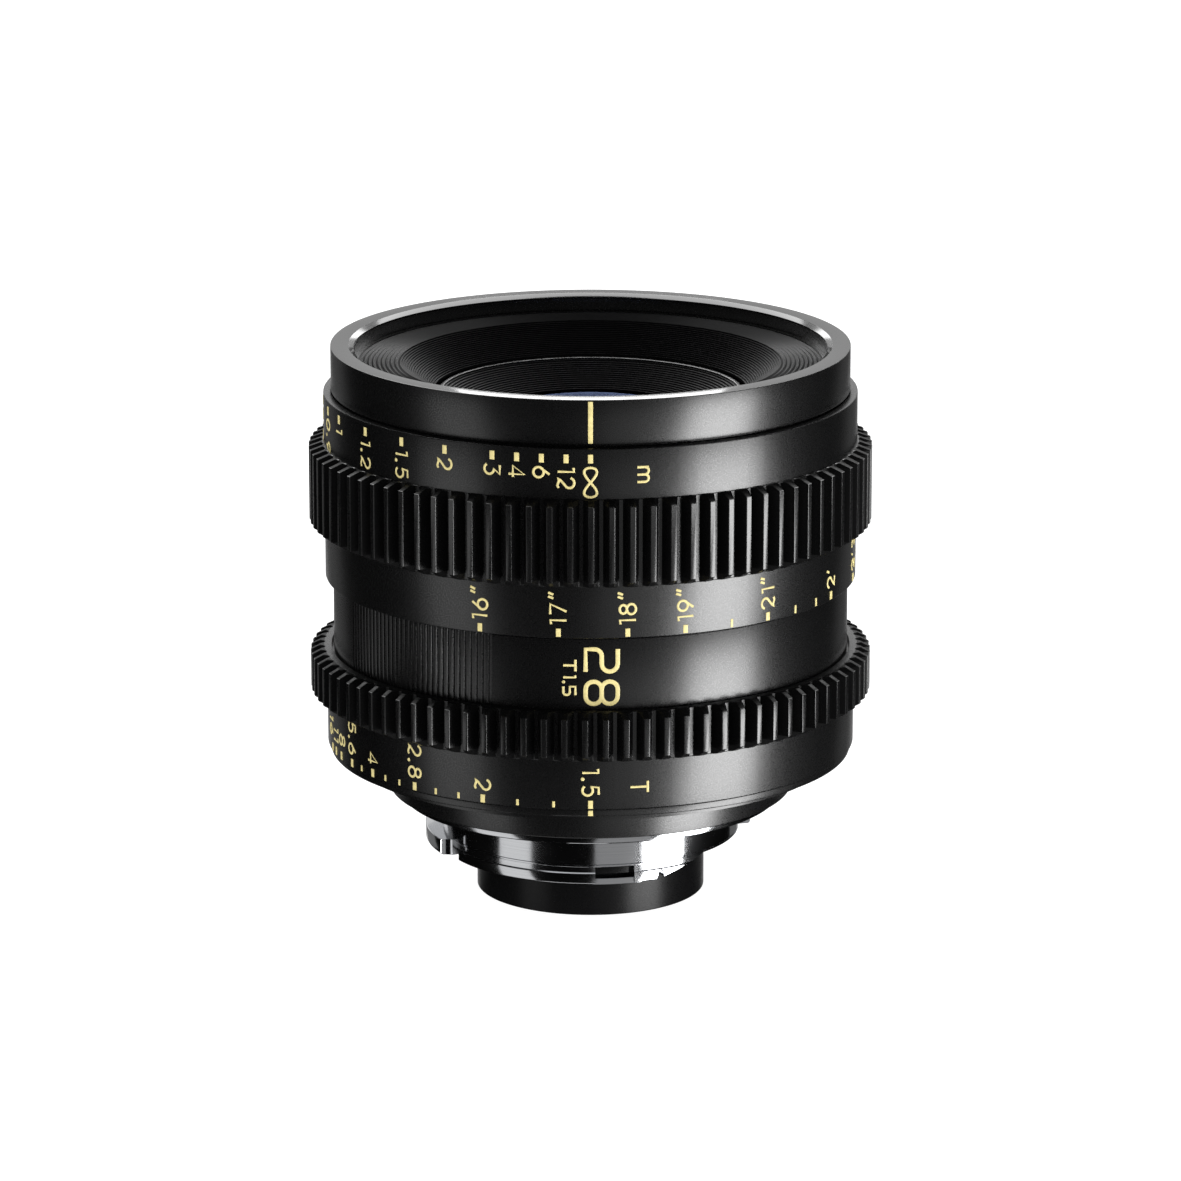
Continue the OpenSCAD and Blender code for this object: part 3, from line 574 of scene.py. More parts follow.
class LENS_OT_front_ring(bpy.types.Operator):
    """Turn the front ring, its polished lip and its filter bore"""

    bl_idname = "lens.front_ring"
    bl_label = "Front Ring"

    def execute(self, context):
        bore, skirt, seat_bore = mm("filter_radius"), 31.2, 28.6
        seat, wall, lip = RIM_HIGH - 2.2, bore + 0.5, RIM_RADIUS - 0.12
        lip_low, groove, groove_low, shelf = RIM_HIGH - 0.5, RIM_RADIUS - 0.4, 51.8, 52
        outline = [
            (MAIN_BORE, RIM_LOW), (skirt, RIM_LOW), (skirt, groove_low), (groove, groove_low),
            (groove, COLLAR), (RIM_RADIUS, COLLAR, 0.08), (RIM_RADIUS, RIM_HIGH, 0.11),
            (lip, RIM_HIGH), (lip, lip_low), (wall, lip_low), (wall, seat),
            (bore - BAFFLE_FIT, seat), (bore - BAFFLE_FIT, BAFFLE_SEAT),
            (seat_bore, BAFFLE_SEAT), (seat_bore, shelf), (MAIN_BORE, shelf)]
        settle(turned("front_ring_turned", outline), "barrel", "black_anodised", "front_ring")
        outline = [
            (bore, lip_low), (bore, lip_low + 0.07, 0.03), (bore + 0.68, RIM_HIGH, 0.04),
            (lip, RIM_HIGH), (lip, lip_low)]
        settle(turned("front_rim_lip", outline), "barrel", "black_polished", slot="black_satin")
        relieved = bore + 0.12
        outline = [
            (wall, seat), (wall, lip_low), (relieved, lip_low), (relieved, lip_low - 0.12),
            (bore, lip_low - 0.16), (bore, seat)]
        settle(turned("filter_bore_turned", outline), "barrel", "black_anodised")
        return {"FINISHED"}


class LENS_OT_front_baffle(bpy.types.Operator):
    """Turn the ribbed shoulder and cone behind the filter bore"""

    bl_idname = "lens.front_baffle"
    bl_label = "Front Baffle"

    def execute(self, context):
        rim, shoulder = mm("filter_radius") - BAFFLE_FIT, RIM_HIGH - 2.3
        cone_top, cone_low = (24.3, 56.9), (19.9, 53.4)
        outline = [
            (cone_low[0], 53), (20.6, 52.8), (25, BAFFLE_SEAT), (rim, BAFFLE_SEAT),
            (rim, shoulder), *grooves(rim - 0.2, cone_top[0], shoulder, 0.2, 9), cone_top,
            *ribs(cone_top, cone_low, 18, 0.2)]
        settle(turned("front_baffle_turned", outline, FINE_SMOOTH), "barrel", "black_baffle",
               "front_baffle")
        return {"FINISHED"}


class LENS_OT_front_cell(bpy.types.Operator):
    """Turn the moving nose of the carriage and its ribbed retaining ring"""

    bl_idname = "lens.front_cell"
    bl_label = "Front Cell"

    def execute(self, context):
        _, low, nose = reach("front_cell")
        bore, body, flange, nose_bore = 13.5, 24.4, 26.85, NOSE_RADIUS - 0.5
        flange_low, flange_high, shelf = 46, 47.4, 23.6
        outline = [
            (bore, low), (body, low), (body, flange_low), (flange, flange_low),
            (flange, flange_high), (NOSE_RADIUS, flange_high), (NOSE_RADIUS, nose, 0.08),
            (nose_bore, nose, 0.1), (nose_bore, GLASS_SEAT), (GLASS_RADIUS, GLASS_SEAT),
            (GLASS_RADIUS, shelf), (bore, shelf)]
        settle(turned("front_cell_turned", outline), "carriage", "black_anodised", "front_cell",
               slot="black_satin")
        ring_top, ring_low, ring_bore = nose - 0.25, GLASS_SEAT - 1.2, GLASS_RADIUS - 0.9
        start, end = (NOSE_RADIUS - 0.75, ring_top), (GLASS_RADIUS - 2.7, GLASS_SEAT - 0.2)
        outline = [
            (ring_bore, ring_low), (GLASS_RADIUS, ring_low), (GLASS_RADIUS, GLASS_SEAT),
            (nose_bore, GLASS_SEAT), (nose_bore, ring_top), start, *ribs(start, end, 14, 0.25),
            (end[0], end[1] - 0.15), (ring_bore, end[1] - 0.15)]
        settle(turned("front_retainer_turned", outline, FINE_SMOOTH), "carriage",
               "black_baffle", "front_retainer")
        return {"FINISHED"}


class LENS_OT_glass(bpy.types.Operator):
    """Smooth the ground faces of the glass elements"""

    bl_idname = "lens.glass"
    bl_label = "Glass Elements"

    def execute(self, context):
        for node in ("front_element", "element_2", "element_3", "front_doublet_crown",
                     "front_doublet_flint", "rear_doublet_crown", "rear_doublet_flint",
                     "element_6", "rear_element"):
            settle(smooth_copy(node), "carriage", "glass", node)
        return {"FINISHED"}


def smooth_copy(node):
    """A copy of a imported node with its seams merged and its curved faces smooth."""
    piece = copy_of(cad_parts[node], node + "_ground")
    piece.parent = None
    activate(piece)
    bpy.ops.object.mode_set(mode="EDIT")
    bpy.ops.mesh.select_mode(type="VERT")
    select_all()
    bpy.ops.mesh.customdata_custom_splitnormals_clear()
    bpy.ops.mesh.remove_doubles(threshold=PACKED_SEAM)
    bpy.ops.object.mode_set(mode="OBJECT")
    bpy.ops.object.shade_smooth_by_angle(angle=radians(GROUND_SMOOTH))
    return piece


# Gear rings

TOOTH_SMOOTH = 18


def tooth_stations(tip):
    """Turns and shares of one pitch: gap, flank, land, flank, gap."""
    pitch = FULL / bpy.context.scene.lens_sizes.teeth
    foot = math.degrees(mm("tooth_foot") / (tip - mm("tooth_depth"))) / 2
    land = math.degrees(mm("tooth_land") / tip) / 2
    return [(-pitch / 2, 0), (-foot, 0), (-land, 1), (land, 1), (foot, 0),
            (pitch / 2, 0)]


def tooth_outline(tip, low, high, edge, crest):
    """Outline of a gear from low to high, in the gap and, by the changed radius, on a tooth."""
    root = tip - mm("tooth_depth")
    return [
        (root - 0.12, low, 0, root + 0.1), (root - 0.03, low + 0.05, 0, root + 0.19),
        (root, low + 0.14, 0, root + 0.36), (root, low + 0.95, 0, tip),
        (root, high - 0.6, 0, tip), (root, high - edge, 0, root + crest[0]),
        (root - edge, high, 0, root + crest[1])]


def gear_ring(name, outline, tip, start):
    """A ring with teeth whose edges are rounded."""
    root = tip - mm("tooth_depth")

    def on_tooth(one, other):
        near, far = sorted((spot(one)[0], spot(other)[0]))
        return near > root + 0.05 and far > root + 1.5
    return pitched(name, outline, tooth_stations(tip), bpy.context.scene.lens_sizes.teeth, start,
                   on_tooth, smooth=TOOTH_SMOOTH)


class LENS_OT_focus_ring(bpy.types.Operator):
    """Model the focus ring: two distance bands with a gear between them"""

    bl_idname = "lens.focus_ring"
    bl_label = "Focus Ring"

    def execute(self, context):
        bore, mouth, ledge = 31.6, 33, 51.4
        top, low, edge = mm("distance_band"), mm("feet_band"), mm("edge_break")
        gear_low, gear_high = FOCUS_LOW + 6.55, FOCUS_HIGH - 6.35
        outline = [
            (bore, FOCUS_LOW), (low, FOCUS_LOW, edge), (low, gear_low),
            *tooth_outline(FOCUS_TIP, gear_low, gear_high, 0.06, (0.27, 0.1)),
            (top, gear_high), (top, FOCUS_HIGH, edge), (mouth, FOCUS_HIGH, 0.06),
            (mouth, ledge), (bore, ledge)]
        settle(gear_ring("focus_ring_cut", outline, FOCUS_TIP, 2.2), "focus", "black_gear",
               "focus_ring", slot="black_anodised")
        return {"FINISHED"}


class LENS_OT_aperture_ring(bpy.types.Operator):
    """Model the aperture ring: a gear above the aperture scale"""

    bl_idname = "lens.aperture_ring"
    bl_label = "Aperture Ring"

    def execute(self, context):
        bore, mouth, ledge = 29.95, 33.3, STOP_HIGH - 0.8
        band, gear_low = mm("stop_band"), STOP_HIGH - 6.4
        outline = [
            (bore, STOP_LOW), (band, STOP_LOW, mm("edge_break")), (band, gear_low),
            *tooth_outline(STOP_TIP, gear_low, STOP_HIGH, 0.08, (0.76, 0.6)),
            (mouth, STOP_HIGH, 0.06), (mouth, ledge), (bore, ledge)]
        settle(gear_ring("aperture_ring_cut", outline, STOP_TIP, 1), "aperture", "black_gear",
               "aperture_ring", slot="black_anodised")
        return {"FINISHED"}


class LENS_OT_fixed_barrel(bpy.types.Operator):
    """Model the fixed barrel with its two grooved grip patches"""

    bl_idname = "lens.fixed_barrel"
    bl_label = "Fixed Barrel"

    def execute(self, context):
        radius, pitch, half_groove, patch_middle = BARREL_RADIUS, 1.43, 0.267, -134.3
        count, floor = context.scene.lens_sizes.grip_grooves, radius - mm("grip_depth")
        outline = [
            (MAIN_BORE, BARREL_LOW), (radius, BARREL_LOW, 0, floor),
            (radius, BARREL_HIGH - 0.14, 0, floor),
            (radius - 0.04, BARREL_HIGH - 0.05, 0, floor - 0.01),
            (radius - 0.13, BARREL_HIGH, 0, floor - 0.02), (MAIN_BORE, BARREL_HIGH)]
        half, span = math.degrees(half_groove / radius), pitch * count
        rounding = ((-1, 0), (-0.72, 0.66), (-0.34, 0.93), (0.34, 0.93), (0.72, 0.66),
                    (1, 0))
        stations = [(-pitch / 2, 0), *((part * half, share) for part, share in rounding),
                    (pitch / 2, 0)]
        barrel = pitched("fixed_barrel_cut", outline, stations, count,
                         patch_middle - span / 2 + pitch / 2, plain=FULL / 2 - span, repeats=2)
        settle(barrel, "barrel", "black_anodised", "fixed_barrel")
        return {"FINISHED"}


# Rear end

HUB_RADIUS, MOUNT_BORE = 20, 16.2
LUGS = ((13, 54), (84, 54), (155, 53))
SCREW_STEPS, CROSS_TURN = 32, 20


class LENS_OT_rear_cover(bpy.types.Operator):
    """Turn the thin index ring and the black rear cover"""

    bl_idname = "lens.rear_cover"
    bl_label = "Rear Cover"

    def execute(self, context):
        edge, waist, bore = mm("edge_break"), 26, HUB_RADIUS - 2.8
        outline = [
            (MAIN_BORE, INDEX_LOW), (INDEX_RADIUS, INDEX_LOW, edge),
            (INDEX_RADIUS, INDEX_HIGH, 0.1), (MAIN_BORE, INDEX_HIGH)]
        settle(turned("aperture_index_ring_turned", outline), "barrel", "black_anodised",
               "aperture_index_ring")
        outline = [
            (HUB_RADIUS, COVER_LOW), (waist, COVER_LOW, edge), (waist, COVER_HIGH - 1.8),
            (COVER_RADIUS, COVER_HIGH - 1), (COVER_RADIUS, COVER_HIGH),
            (bore, COVER_HIGH), (bore, HUB_HIGH), (HUB_RADIUS, HUB_HIGH)]
        settle(turned("rear_cover_turned", outline), "barrel", "black_anodised", "rear_cover")
        return {"FINISHED"}


class LENS_OT_bayonet(bpy.types.Operator):
    """Model the chromed bayonet: flange, neck, three lugs and the guard with its ramp"""

    bl_idname = "lens.bayonet"
    bl_label = "Bayonet"

    def execute(self, context):
        neck, lug, inner, neck_low, guard_low = 19.2, 21.4, MOUNT_BORE + 0.4, -4.7, NECK_LOW + 0.2
        line, line_floor, flange_high = neck_low + 0.3, neck - 0.2, 1
        mount = turned("bayonet_turned", [
            (MOUNT_BORE, neck_low), (neck, neck_low, 0.05), (neck, line - 0.07),
            (line_floor, line - 0.05), (line_floor, line + 0.05), (neck, line + 0.07),
            (neck, 0), (FLANGE_RADIUS, 0, 0.15), (FLANGE_RADIUS, flange_high, 0.06),
            (HUB_RADIUS, flange_high), (HUB_RADIUS, HUB_HIGH), (MOUNT_BORE, HUB_HIGH)])
        low, top = neck_low - 1.35, neck_low + 0.7
        claw = [(inner, low), (lug, low, 0.4), (lug, top, 0.12), (inner, top)]
        for start, sweep in LUGS:
            combine(mount, part_turned("claw", claw, start, sweep, 48), "UNION")
        step, ledge, buried = 0.15, neck_low - 0.75, neck_low + 0.5
        guard = [(inner, guard_low), (neck, guard_low, 0.12), (neck, ledge - step, 0.04),
                 (neck - step, ledge), (neck - step, buried), (inner, buried)]
        combine(mount, part_turned("guard", guard, -152, 63.8, 60), "UNION")
        ramp = part_turned("ramp", guard, -73, 32, 40)
        ramp_middle, ramp_half = radians(-52), radians(12)
        rise = math.atan((neck_low - guard_low) / (2 * neck * sin(ramp_half)))
        bpy.ops.object.mode_set(mode="EDIT")
        select_all()
        bpy.ops.mesh.bisect(
            plane_co=(0, 0, (neck_low + guard_low) / 2 * MM),
            plane_no=(sin(ramp_middle) * sin(rise),
                      -cos(ramp_middle) * sin(rise), cos(rise)),
            use_fill=True, clear_inner=True)
        close_mesh()
        combine(mount, ramp, "UNION")
        web_bore, web, web_top = inner + 0.2, neck - 0.25, guard_low + 0.6
        combine(mount, part_turned("web", [
            (web_bore, NECK_LOW), (web, NECK_LOW, 0.05), (web, web_top, 0.05),
            (web_bore, web_top)], -91, 21, 20), "UNION")
        relief_turn, notch_turn, notch, notch_depth, notch_high = -150, -62, 0.42, 3.2, 0.85
        cut_round(mount, 1.5, 6, ring_point(lug, relief_turn, low), (0, 0, 0))
        turn = radians(notch_turn)
        cut_round(mount, notch, notch_depth, ring_point(neck, notch_turn, guard_low + notch_high),
                  (0, pi / 2, turn))
        cut_box(mount, (notch_depth, 2 * notch, 2 * notch_high),
                ring_point(neck, notch_turn, guard_low), turn)
        activate(mount)
        bpy.ops.object.shade_smooth_by_angle(angle=radians(SMOOTH))
        settle(mount, "barrel", "chrome", "bayonet_mount")
        return {"FINISHED"}


def cut_round(piece, radius, depth, place, turn):
    """Cut a round hole about a place in a piece."""
    bpy.ops.mesh.primitive_cylinder_add(
        vertices=40, radius=radius * MM, depth=depth * MM, location=metres(place), rotation=turn)
    combine(piece, bpy.context.active_object, "DIFFERENCE")


def cut_box(piece, size, place, turn):
    """Cut a box, turned about the axis, out of a piece."""
    bpy.ops.mesh.primitive_cube_add(size=1, location=metres(place), rotation=(0, 0, turn))
    bpy.context.active_object.scale = metres(size)
    combine(piece, bpy.context.active_object, "DIFFERENCE")


def metres(lengths):
    return tuple(length * MM for length in lengths)


def ring_point(radius, degrees, height):
    """A place on a circle round the axis."""
    turn = radians(degrees)
    return radius * cos(turn), radius * sin(turn), height


class LENS_OT_rear_tube(bpy.types.Operator):
    """Turn the rear guard tube and the cell behind the rear glass"""

    bl_idname = "lens.rear_tube"
    bl_label = "Rear Tube"

    def execute(self, context):
        mouth, radius, bore, step, lip = 11.4, 14.7, 13.4, -2.2, TUBE_LOW + 0.8
        outline = [
            (mouth, TUBE_LOW, 0.1), (radius, TUBE_LOW, mm("edge_break")), (radius, step),
            (MOUNT_BORE, step), (MOUNT_BORE, TUBE_HIGH), (bore, TUBE_HIGH), (bore, lip),
            (mouth, lip, 0.1)]
        settle(turned("rear_tube_turned", outline), "barrel", "black_satin", "rear_tube")
        for node in ("rear_cell", "rear_retainer"):
            settle(smooth_copy(node), "carriage", "black_satin", node)
        return {"FINISHED"}


class LENS_OT_screws(bpy.types.Operator):
    """Model one screw of each kind and copy it to its places"""

    bl_idname = "lens.screws"
    bl_label = "Screws"

    def execute(self, context):
        face, shank, tail = 0.02, 0.8, 4
        place_screws("mount_screws", 22, (-125, -35, 55, 145), screw_head(
            "mount_screw", [(0, face), (1.36, face), (1.42, 0.06), (shank, 0.7), (shank, tail),
                            (0, tail)]))
        face, shank, head = COVER_HIGH - 1.2, 0.7, 1.05
        under, tail = face + 0.6, face + 3
        place_screws("cover_screws", 28.75, (45, 135, 225, 315), screw_head(
            "cover_screw", [(0, face), (0.95, face), (head, face + 0.1), (head, under),
                            (shank, under), (shank, tail), (0, tail)]))
        return {"FINISHED"}


def screw_head(name, outline):
    """A turned screw with a cross recess in its face, where its outline starts."""
    recess = (1.3, 0.28, 0.8)
    screw = turned(name, outline, steps=SCREW_STEPS, closed=False)
    for turn in (0, pi / 2):
        cut_box(screw, recess, (0, 0, outline[0][1]), turn)
    return screw


def place_screws(node, radius, angles, screw):
    """Copies of a screw round the axis, as one set."""
    copies = []
    for angle in angles:
        twin = copy_of(screw, node + "_set")
        twin.location = metres(ring_point(radius, angle, 0))
        twin.rotation_euler.z = radians(angle + CROSS_TURN)
        copies.append(twin)
    discard(screw)
    settle(joined(copies, node + "_set"), "barrel", "steel", node)


# Marks


def arc(x, y, across, up, start, end):
    """Points of an arc by its centre, half widths and angles in degrees."""
    count = max(3, int(abs(end - start) / 18))
    turns = [radians(start + (end - start) * i / count) for i in range(count + 1)]
    return [(x + across * cos(t), y + up * sin(t)) for t in turns]


def loop_points():
    """The sign for infinity, lying along the reading direction."""
    turns = [TURN * i / 40 for i in range(41)]
    return [(0.92 + 0.92 * cos(t), 0.5 + 0.78 * sin(t) * cos(t)) for t in turns]


W = 0.64
DIGITS = {
    "0": (W, [arc(W / 2, 0.5, W / 2, 0.5, 90, 450)]),
    "1": (0.26, [[(0, 0.94), (0.25, 0.99), (0.25, 0)]]),
    "2": (W, [arc(W / 2, 0.70, W / 2, 0.30, 165, -35)
              + [(0.16, 0.16), (0.02, 0), (0.10, 0.05), (0.22, 0.06), (0.36, 0), (0.50, -0.03),
                 (W, 0.04)]]),
    "3": (W, [[(0.04, 1), (W - 0.03, 1), (W * 0.44, 0.62)]
              + arc(W / 2 - 0.01, 0.31, W / 2, 0.31, 72, -150)]),
    "4": (0.70, [[(0.52, 0), (0.52, 1), (0, 0.26), (0.70, 0.26)]]),
    "5": (W, [[(W - 0.06, 1), (0.13, 1), (0.07, 0.56)]
              + arc(W / 2, 0.32, W / 2, 0.32, 128, -145)]),
    "6": (W, [[(W * 0.70, 1), (0.06, 0.47)], arc(W / 2, 0.32, W / 2, 0.32, 90, 450)]),
    "7": (W, [[(0, 1), (W, 1), (W * 0.30, 0)]]),
    "8": (W, [arc(W / 2, 0.28, W / 2, 0.28, 90, 450), arc(W / 2, 0.78, W * 0.42, 0.22, -90, 270)]),
    "9": (W, [[(W * 0.30, 0), (W - 0.06, 0.53)], arc(W / 2, 0.68, W / 2, 0.32, 90, 450)]),
    ".": (0.08, [arc(0.04, 0.02, 0.04, 0.04, 0, 360)]),
    "m": (0.92, [[(0, 0), (0, 0.70)],
                 arc(0.23, 0.46, 0.23, 0.24, 180, 0) + [(0.46, 0)],
                 arc(0.69, 0.46, 0.23, 0.24, 180, 0) + [(0.92, 0)]]),
    "T": (0.66, [[(0, 1), (0.66, 1)], [(0.33, 1), (0.33, 0)]]),
    "inch": (0.32, [[(0.12, 1.12), (0, 0.80)], [(0.36, 1.12), (0.24, 0.80)]]),
    "foot": (0.12, [[(0.12, 1.12), (0, 0.80)]]),
    "infinity": (1.84, [loop_points()]),
}
P = 0.72
PLATE_DIGITS = {
    "2": (P, [[(0, 1)] + arc(P - 0.25, 0.75, 0.25, 0.25, 90, -90)
                    + arc(0.22, 0.28, 0.22, 0.22, 90, 180) + [(0, 0), (P, 0)]]),
    "8": (P, [arc(P - 0.25, high, 0.25, 0.25, -90, 90)
                    + arc(0.25, high, 0.25, 0.25, 90, 270) + [(P - 0.25, high - 0.25)]
                    for high in (0.25, 0.75)]),
    "T": (0.98, [[(0, 1), (0.98, 1)], [(0.49, 1), (0.49, 0)]]),
    "1": (0.18, [[(0, 0.96), (0.17, 1), (0.17, 0)]]),
    ".": (0.06, [arc(0.03, 0.02, 0.03, 0.03, 0, 360)]),
    "5": (P, [[(P, 1), (0, 1), (0, 0.54)]
                    + arc(P - 0.27, 0.27, 0.27, 0.27, 90, -90) + [(0, 0)]]),
}


def drawn_sign(name, strokes, height, stroke, depth):
    """A sign lying flat towards -Y: a drawn line, thickened to a flat bead."""
    new_object(name)
    bpy.ops.mesh.delete(type="VERT")
    for points in strokes:
        select_all("DESELECT")
        bpy.ops.mesh.primitive_plane_add(size=MM)
        bpy.ops.mesh.merge(type="CENTER")
        draw_line([(x * height, z * height) for x, z in points])
    select_all()
    bpy.ops.mesh.remove_doubles(threshold=TINY * MM)
    bpy.ops.object.mode_set(mode="OBJECT")
    bpy.ops.object.convert(target="CURVE")
    line = bpy.context.active_object.data
    line.dimensions = "3D"
    line.bevel_depth = stroke * MM / 2
    line.bevel_resolution = 2
    line.use_fill_caps = True
    bpy.ops.object.convert(target="MESH")
    bpy.ops.object.mode_set(mode="EDIT")
    select_all()
    bpy.ops.transform.resize(
        value=(1, 2 * depth / stroke, 1), center_override=(0, 0, 0))
    close_mesh(50)
    return bpy.context.active_object


def tick_mark(name, width, height, depth):
    """A straight mark with its edges broken, standing on its lower end."""
    new_object(name)
    bpy.ops.mesh.delete(type="VERT")
    bpy.ops.mesh.primitive_cube_add(size=1 * MM)
    bpy.ops.transform.resize(value=(width, 2 * depth, height), center_override=(0, 0, 0))
    bpy.ops.transform.translate(value=(0, 0, height * MM / 2))
    select_edges(lambda one, other: one.co.y < 0 and other.co.y < 0)
    bpy.ops.mesh.bevel(offset=depth * 0.8 * MM, segments=2, affect="EDGES")
    bpy.ops.mesh.select_mode(type="VERT")
    close_mesh(40)
    return bpy.context.active_object


class Scale:
    """Marks laid out flat for one ring and then bent round it."""

    def __init__(self, radius, height, stroke, depth, kit=DIGITS, gap=0.36):
        self.radius, self.height, self.stroke = radius, height, stroke
        self.depth, self.kit, self.gap = depth, kit, gap
        self.models, self.placed = {}, []

    def put(self, key, x, z, turn, make, *values):
        """Place a copy of a mark, which is made the first time."""
        if key not in self.models:
            self.models[key] = make("model", *values, self.depth)
        twin = copy_of(self.models[key], "mark")
        twin.location = (x * MM, 0, z * MM)
        twin.rotation_euler.y = turn
        self.placed.append(twin)

    def tick(self, degrees, z, width, height):
        self.put((width, height), radians(degrees) * self.radius, z, 0,
                 tick_mark, width, height)

    def length(self, signs):
        spaces = self.gap * (len(signs) - 1)
        return self.height * (sum(self.kit[sign][0] for sign in signs) + spaces)

    def label(self, signs, degrees, z, downwards):
        """Signs along the axis: read down from z, or up from z, about a place on the ring."""
        x, along, way = radians(degrees) * self.radius, 0, 1 if downwards else -1
        for sign in signs:
            wide, strokes = self.kit[sign]
            self.put(sign, x - way * self.height / 2, z - way * along, way * pi / 2,
                     drawn_sign, strokes, self.height, self.stroke)
            along += (wide + self.gap) * self.height

    def bend(self, name):
        """Join the marks and bend them round the axis."""
        for model in self.models.values():
            discard(model)
        piece = joined(self.placed, name)
        across = [corner.co.x for corner in piece.data.vertices]
        step = piece.modifiers.new("bend", "SIMPLE_DEFORM")
        step.deform_method = "BEND"
        step.deform_axis = "Z"
        step.angle = (max(across) - min(across)) / (self.radius * MM)
        bpy.ops.object.modifier_apply(modifier=step.name)
        piece.location.y = -self.radius * MM
        fix_place()
        return piece


FOCUS_GAIN, FOCUS_BASE, FEET_HOME = 59.8, 0.12, 185.1
INCH, FOOT = 0.0254, 0.3048
NAMED_INCHES = (16, 17, 18, 19, 21)
METRE_TICK, TICK, SMALL_TICK, SMALL_STOP = (0.62, 1.1), (0.6, 1.05), (0.34, 1.05), (0.34, 0.78)


def focus_turn(distance):
    """Turn of the focus ring that brings a distance in metres to its index, in degrees."""
    return -FOCUS_GAIN / (distance - FOCUS_BASE)


def digit_scale(band):
    """An empty scale of digits for one of the bands."""
    return Scale(mm(band), mm("mark_height"), mm("mark_stroke"), mm("mark_relief"))


# Turn of each stop's mark, and how far the labels of the small stops stand aside and up
STOP_TURNS = {"1.5": 0, "2": -23.3, "2.8": -40.5, "4": -54.1, "5.6": -63.1, "8": -69.3,
              "11": -73.2, "16": -76.5}
STOP_SHIFTS = {"8": (0.4, 0.25), "11": (-0.2, 0.13), "16": (-1.5, 0.3)}


class LENS_OT_distance_marks(bpy.types.Operator):
    """Lay the metre and feet scales round the focus ring"""

    bl_idname = "lens.distance_marks"
    bl_label = "Distance Marks"

    def execute(self, context):
        scale, tick_low = digit_scale("distance_band"), FOCUS_HIGH - 1.8
        scale.tick(0, tick_low, *METRE_TICK)
        scale.label(["infinity"], 0, tick_low - 0.55, True)
        scale.label(["m"], 11.4, tick_low - 0.6, True)
        for distance in ("12", "6", "4", "3", "2", "1.5", "1.2", "1", "0.9", "0.8", "0.7", "0.6",
                         "0.5", "0.45"):
            turn = focus_turn(float(distance))
            scale.tick(turn, tick_low, *METRE_TICK)
            scale.label(list(distance), turn, tick_low - 0.58, True)
        settle(scale.bend("metre_marks"), "focus", "marks")
        scale, tick_low = digit_scale("feet_band"), FOCUS_LOW + 0.2
        label_low = tick_low + 1.6
        for inches in range(16, 25):
            turn = FEET_HOME + focus_turn(inches * INCH)
            named = inches in NAMED_INCHES
            if inches < 24:
                scale.tick(turn, tick_low, *(TICK if named else SMALL_TICK))
            if named:
                scale.label([*str(inches), "inch"], turn, label_low, False)
        for feet, inches in ((2, 0), (2, 3), (2, 6), (3, 0), (4, 0), (5, 0), (7, 0), (10, 0),
                             (20, 0), (40, 0)):
            turn = FEET_HOME + focus_turn(feet * FOOT + inches * INCH)
            signs = [*str(feet), "foot"] + ([str(inches), "inch"] if inches else [])
            scale.tick(turn, tick_low, *TICK)
            scale.label(signs, turn, label_low, False)
        scale.tick(FEET_HOME, tick_low, *TICK)
        scale.label(["infinity"], FEET_HOME, label_low, False)
        settle(scale.bend("feet_marks"), "focus", "marks")
        return {"FINISHED"}


class LENS_OT_stop_marks(bpy.types.Operator):
    """Lay the aperture scale round the aperture ring"""

    bl_idname = "lens.stop_marks"
    bl_label = "Aperture Marks"

    def execute(self, context):
        scale, tick_low = digit_scale("stop_band"), STOP_LOW + 0.16
        label_low = tick_low + 1.7
        for stop, turn in STOP_TURNS.items():
            scale.tick(turn, tick_low, *TICK)
            aside, up = STOP_SHIFTS.get(stop, (0, 0))
            scale.label(list(stop), turn + aside, label_low + up + scale.length(list(stop)), True)
        turns, counts = list(STOP_TURNS.values()), (2, 2, 2, 1)
        for low, high, count in zip(turns, turns[1:], counts):
            for i in range(count):
                turn = low + (high - low) * (i + 1) / (count + 1)
                scale.tick(turn, tick_low + 0.1, *SMALL_STOP)
        settle(scale.bend("stop_marks"), "aperture", "marks")
        scale = digit_scale("stop_band")
        scale.height += 0.16
        scale.label(["T"], 10.25, tick_low + 3.4, True)
        settle(scale.bend("stop_letter"), "aperture", "marks")
        return {"FINISHED"}


class LENS_OT_barrel_marks(bpy.types.Operator):
    """Lay the index lines and the focal length on the fixed pieces"""

    bl_idname = "lens.barrel_marks"
    bl_label = "Barrel Marks"

    def execute(self, context):
        depth, line_width, line_low = mm("mark_relief"), TICK[0], COLLAR + 0.15
        large = Scale(BARREL_RADIUS, 3.98, 0.55, depth, PLATE_DIGITS, 0.32)
        large.label(["2", "8"], 2.4, BARREL_HIGH - 1.3, True)
        settle(large.bend("focal_length_marks"), "barrel", "marks")
        small = Scale(BARREL_RADIUS, 1.5, 0.31, depth, PLATE_DIGITS)
        small.label(["T", "1", ".", "5"], -4.55, BARREL_HIGH - 2.65, True)
        settle(small.bend("widest_stop_marks"), "barrel", "marks")
        for name, radius, low, high in (
                ("focus_index_line", RIM_RADIUS, line_low, RIM_HIGH - 0.2),
                ("aperture_index_line", INDEX_RADIUS, INDEX_LOW + 0.1, INDEX_HIGH - 0.1)):
            line = Scale(radius, 0, 0, depth)
            line.tick(0, low, line_width, high - low)
            settle(line.bend(name), "barrel", "marks")
        return {"FINISHED"}


INNER_FINISHES = {
    "steel": ("focus_follower", "guide_rollers", "rear_cell_screws", "aperture_pin"),
    "brass": ("mount_shim", "focus_keys", "barrel_keys"),
    "black_baffle": ("spacer_1", "spacer_2", "spacer_3", "spacer_4", "spacer_5", "iris_base",
                     "iris_drive_ring"),
    "washer": ("focus_thrust_washer",),
}


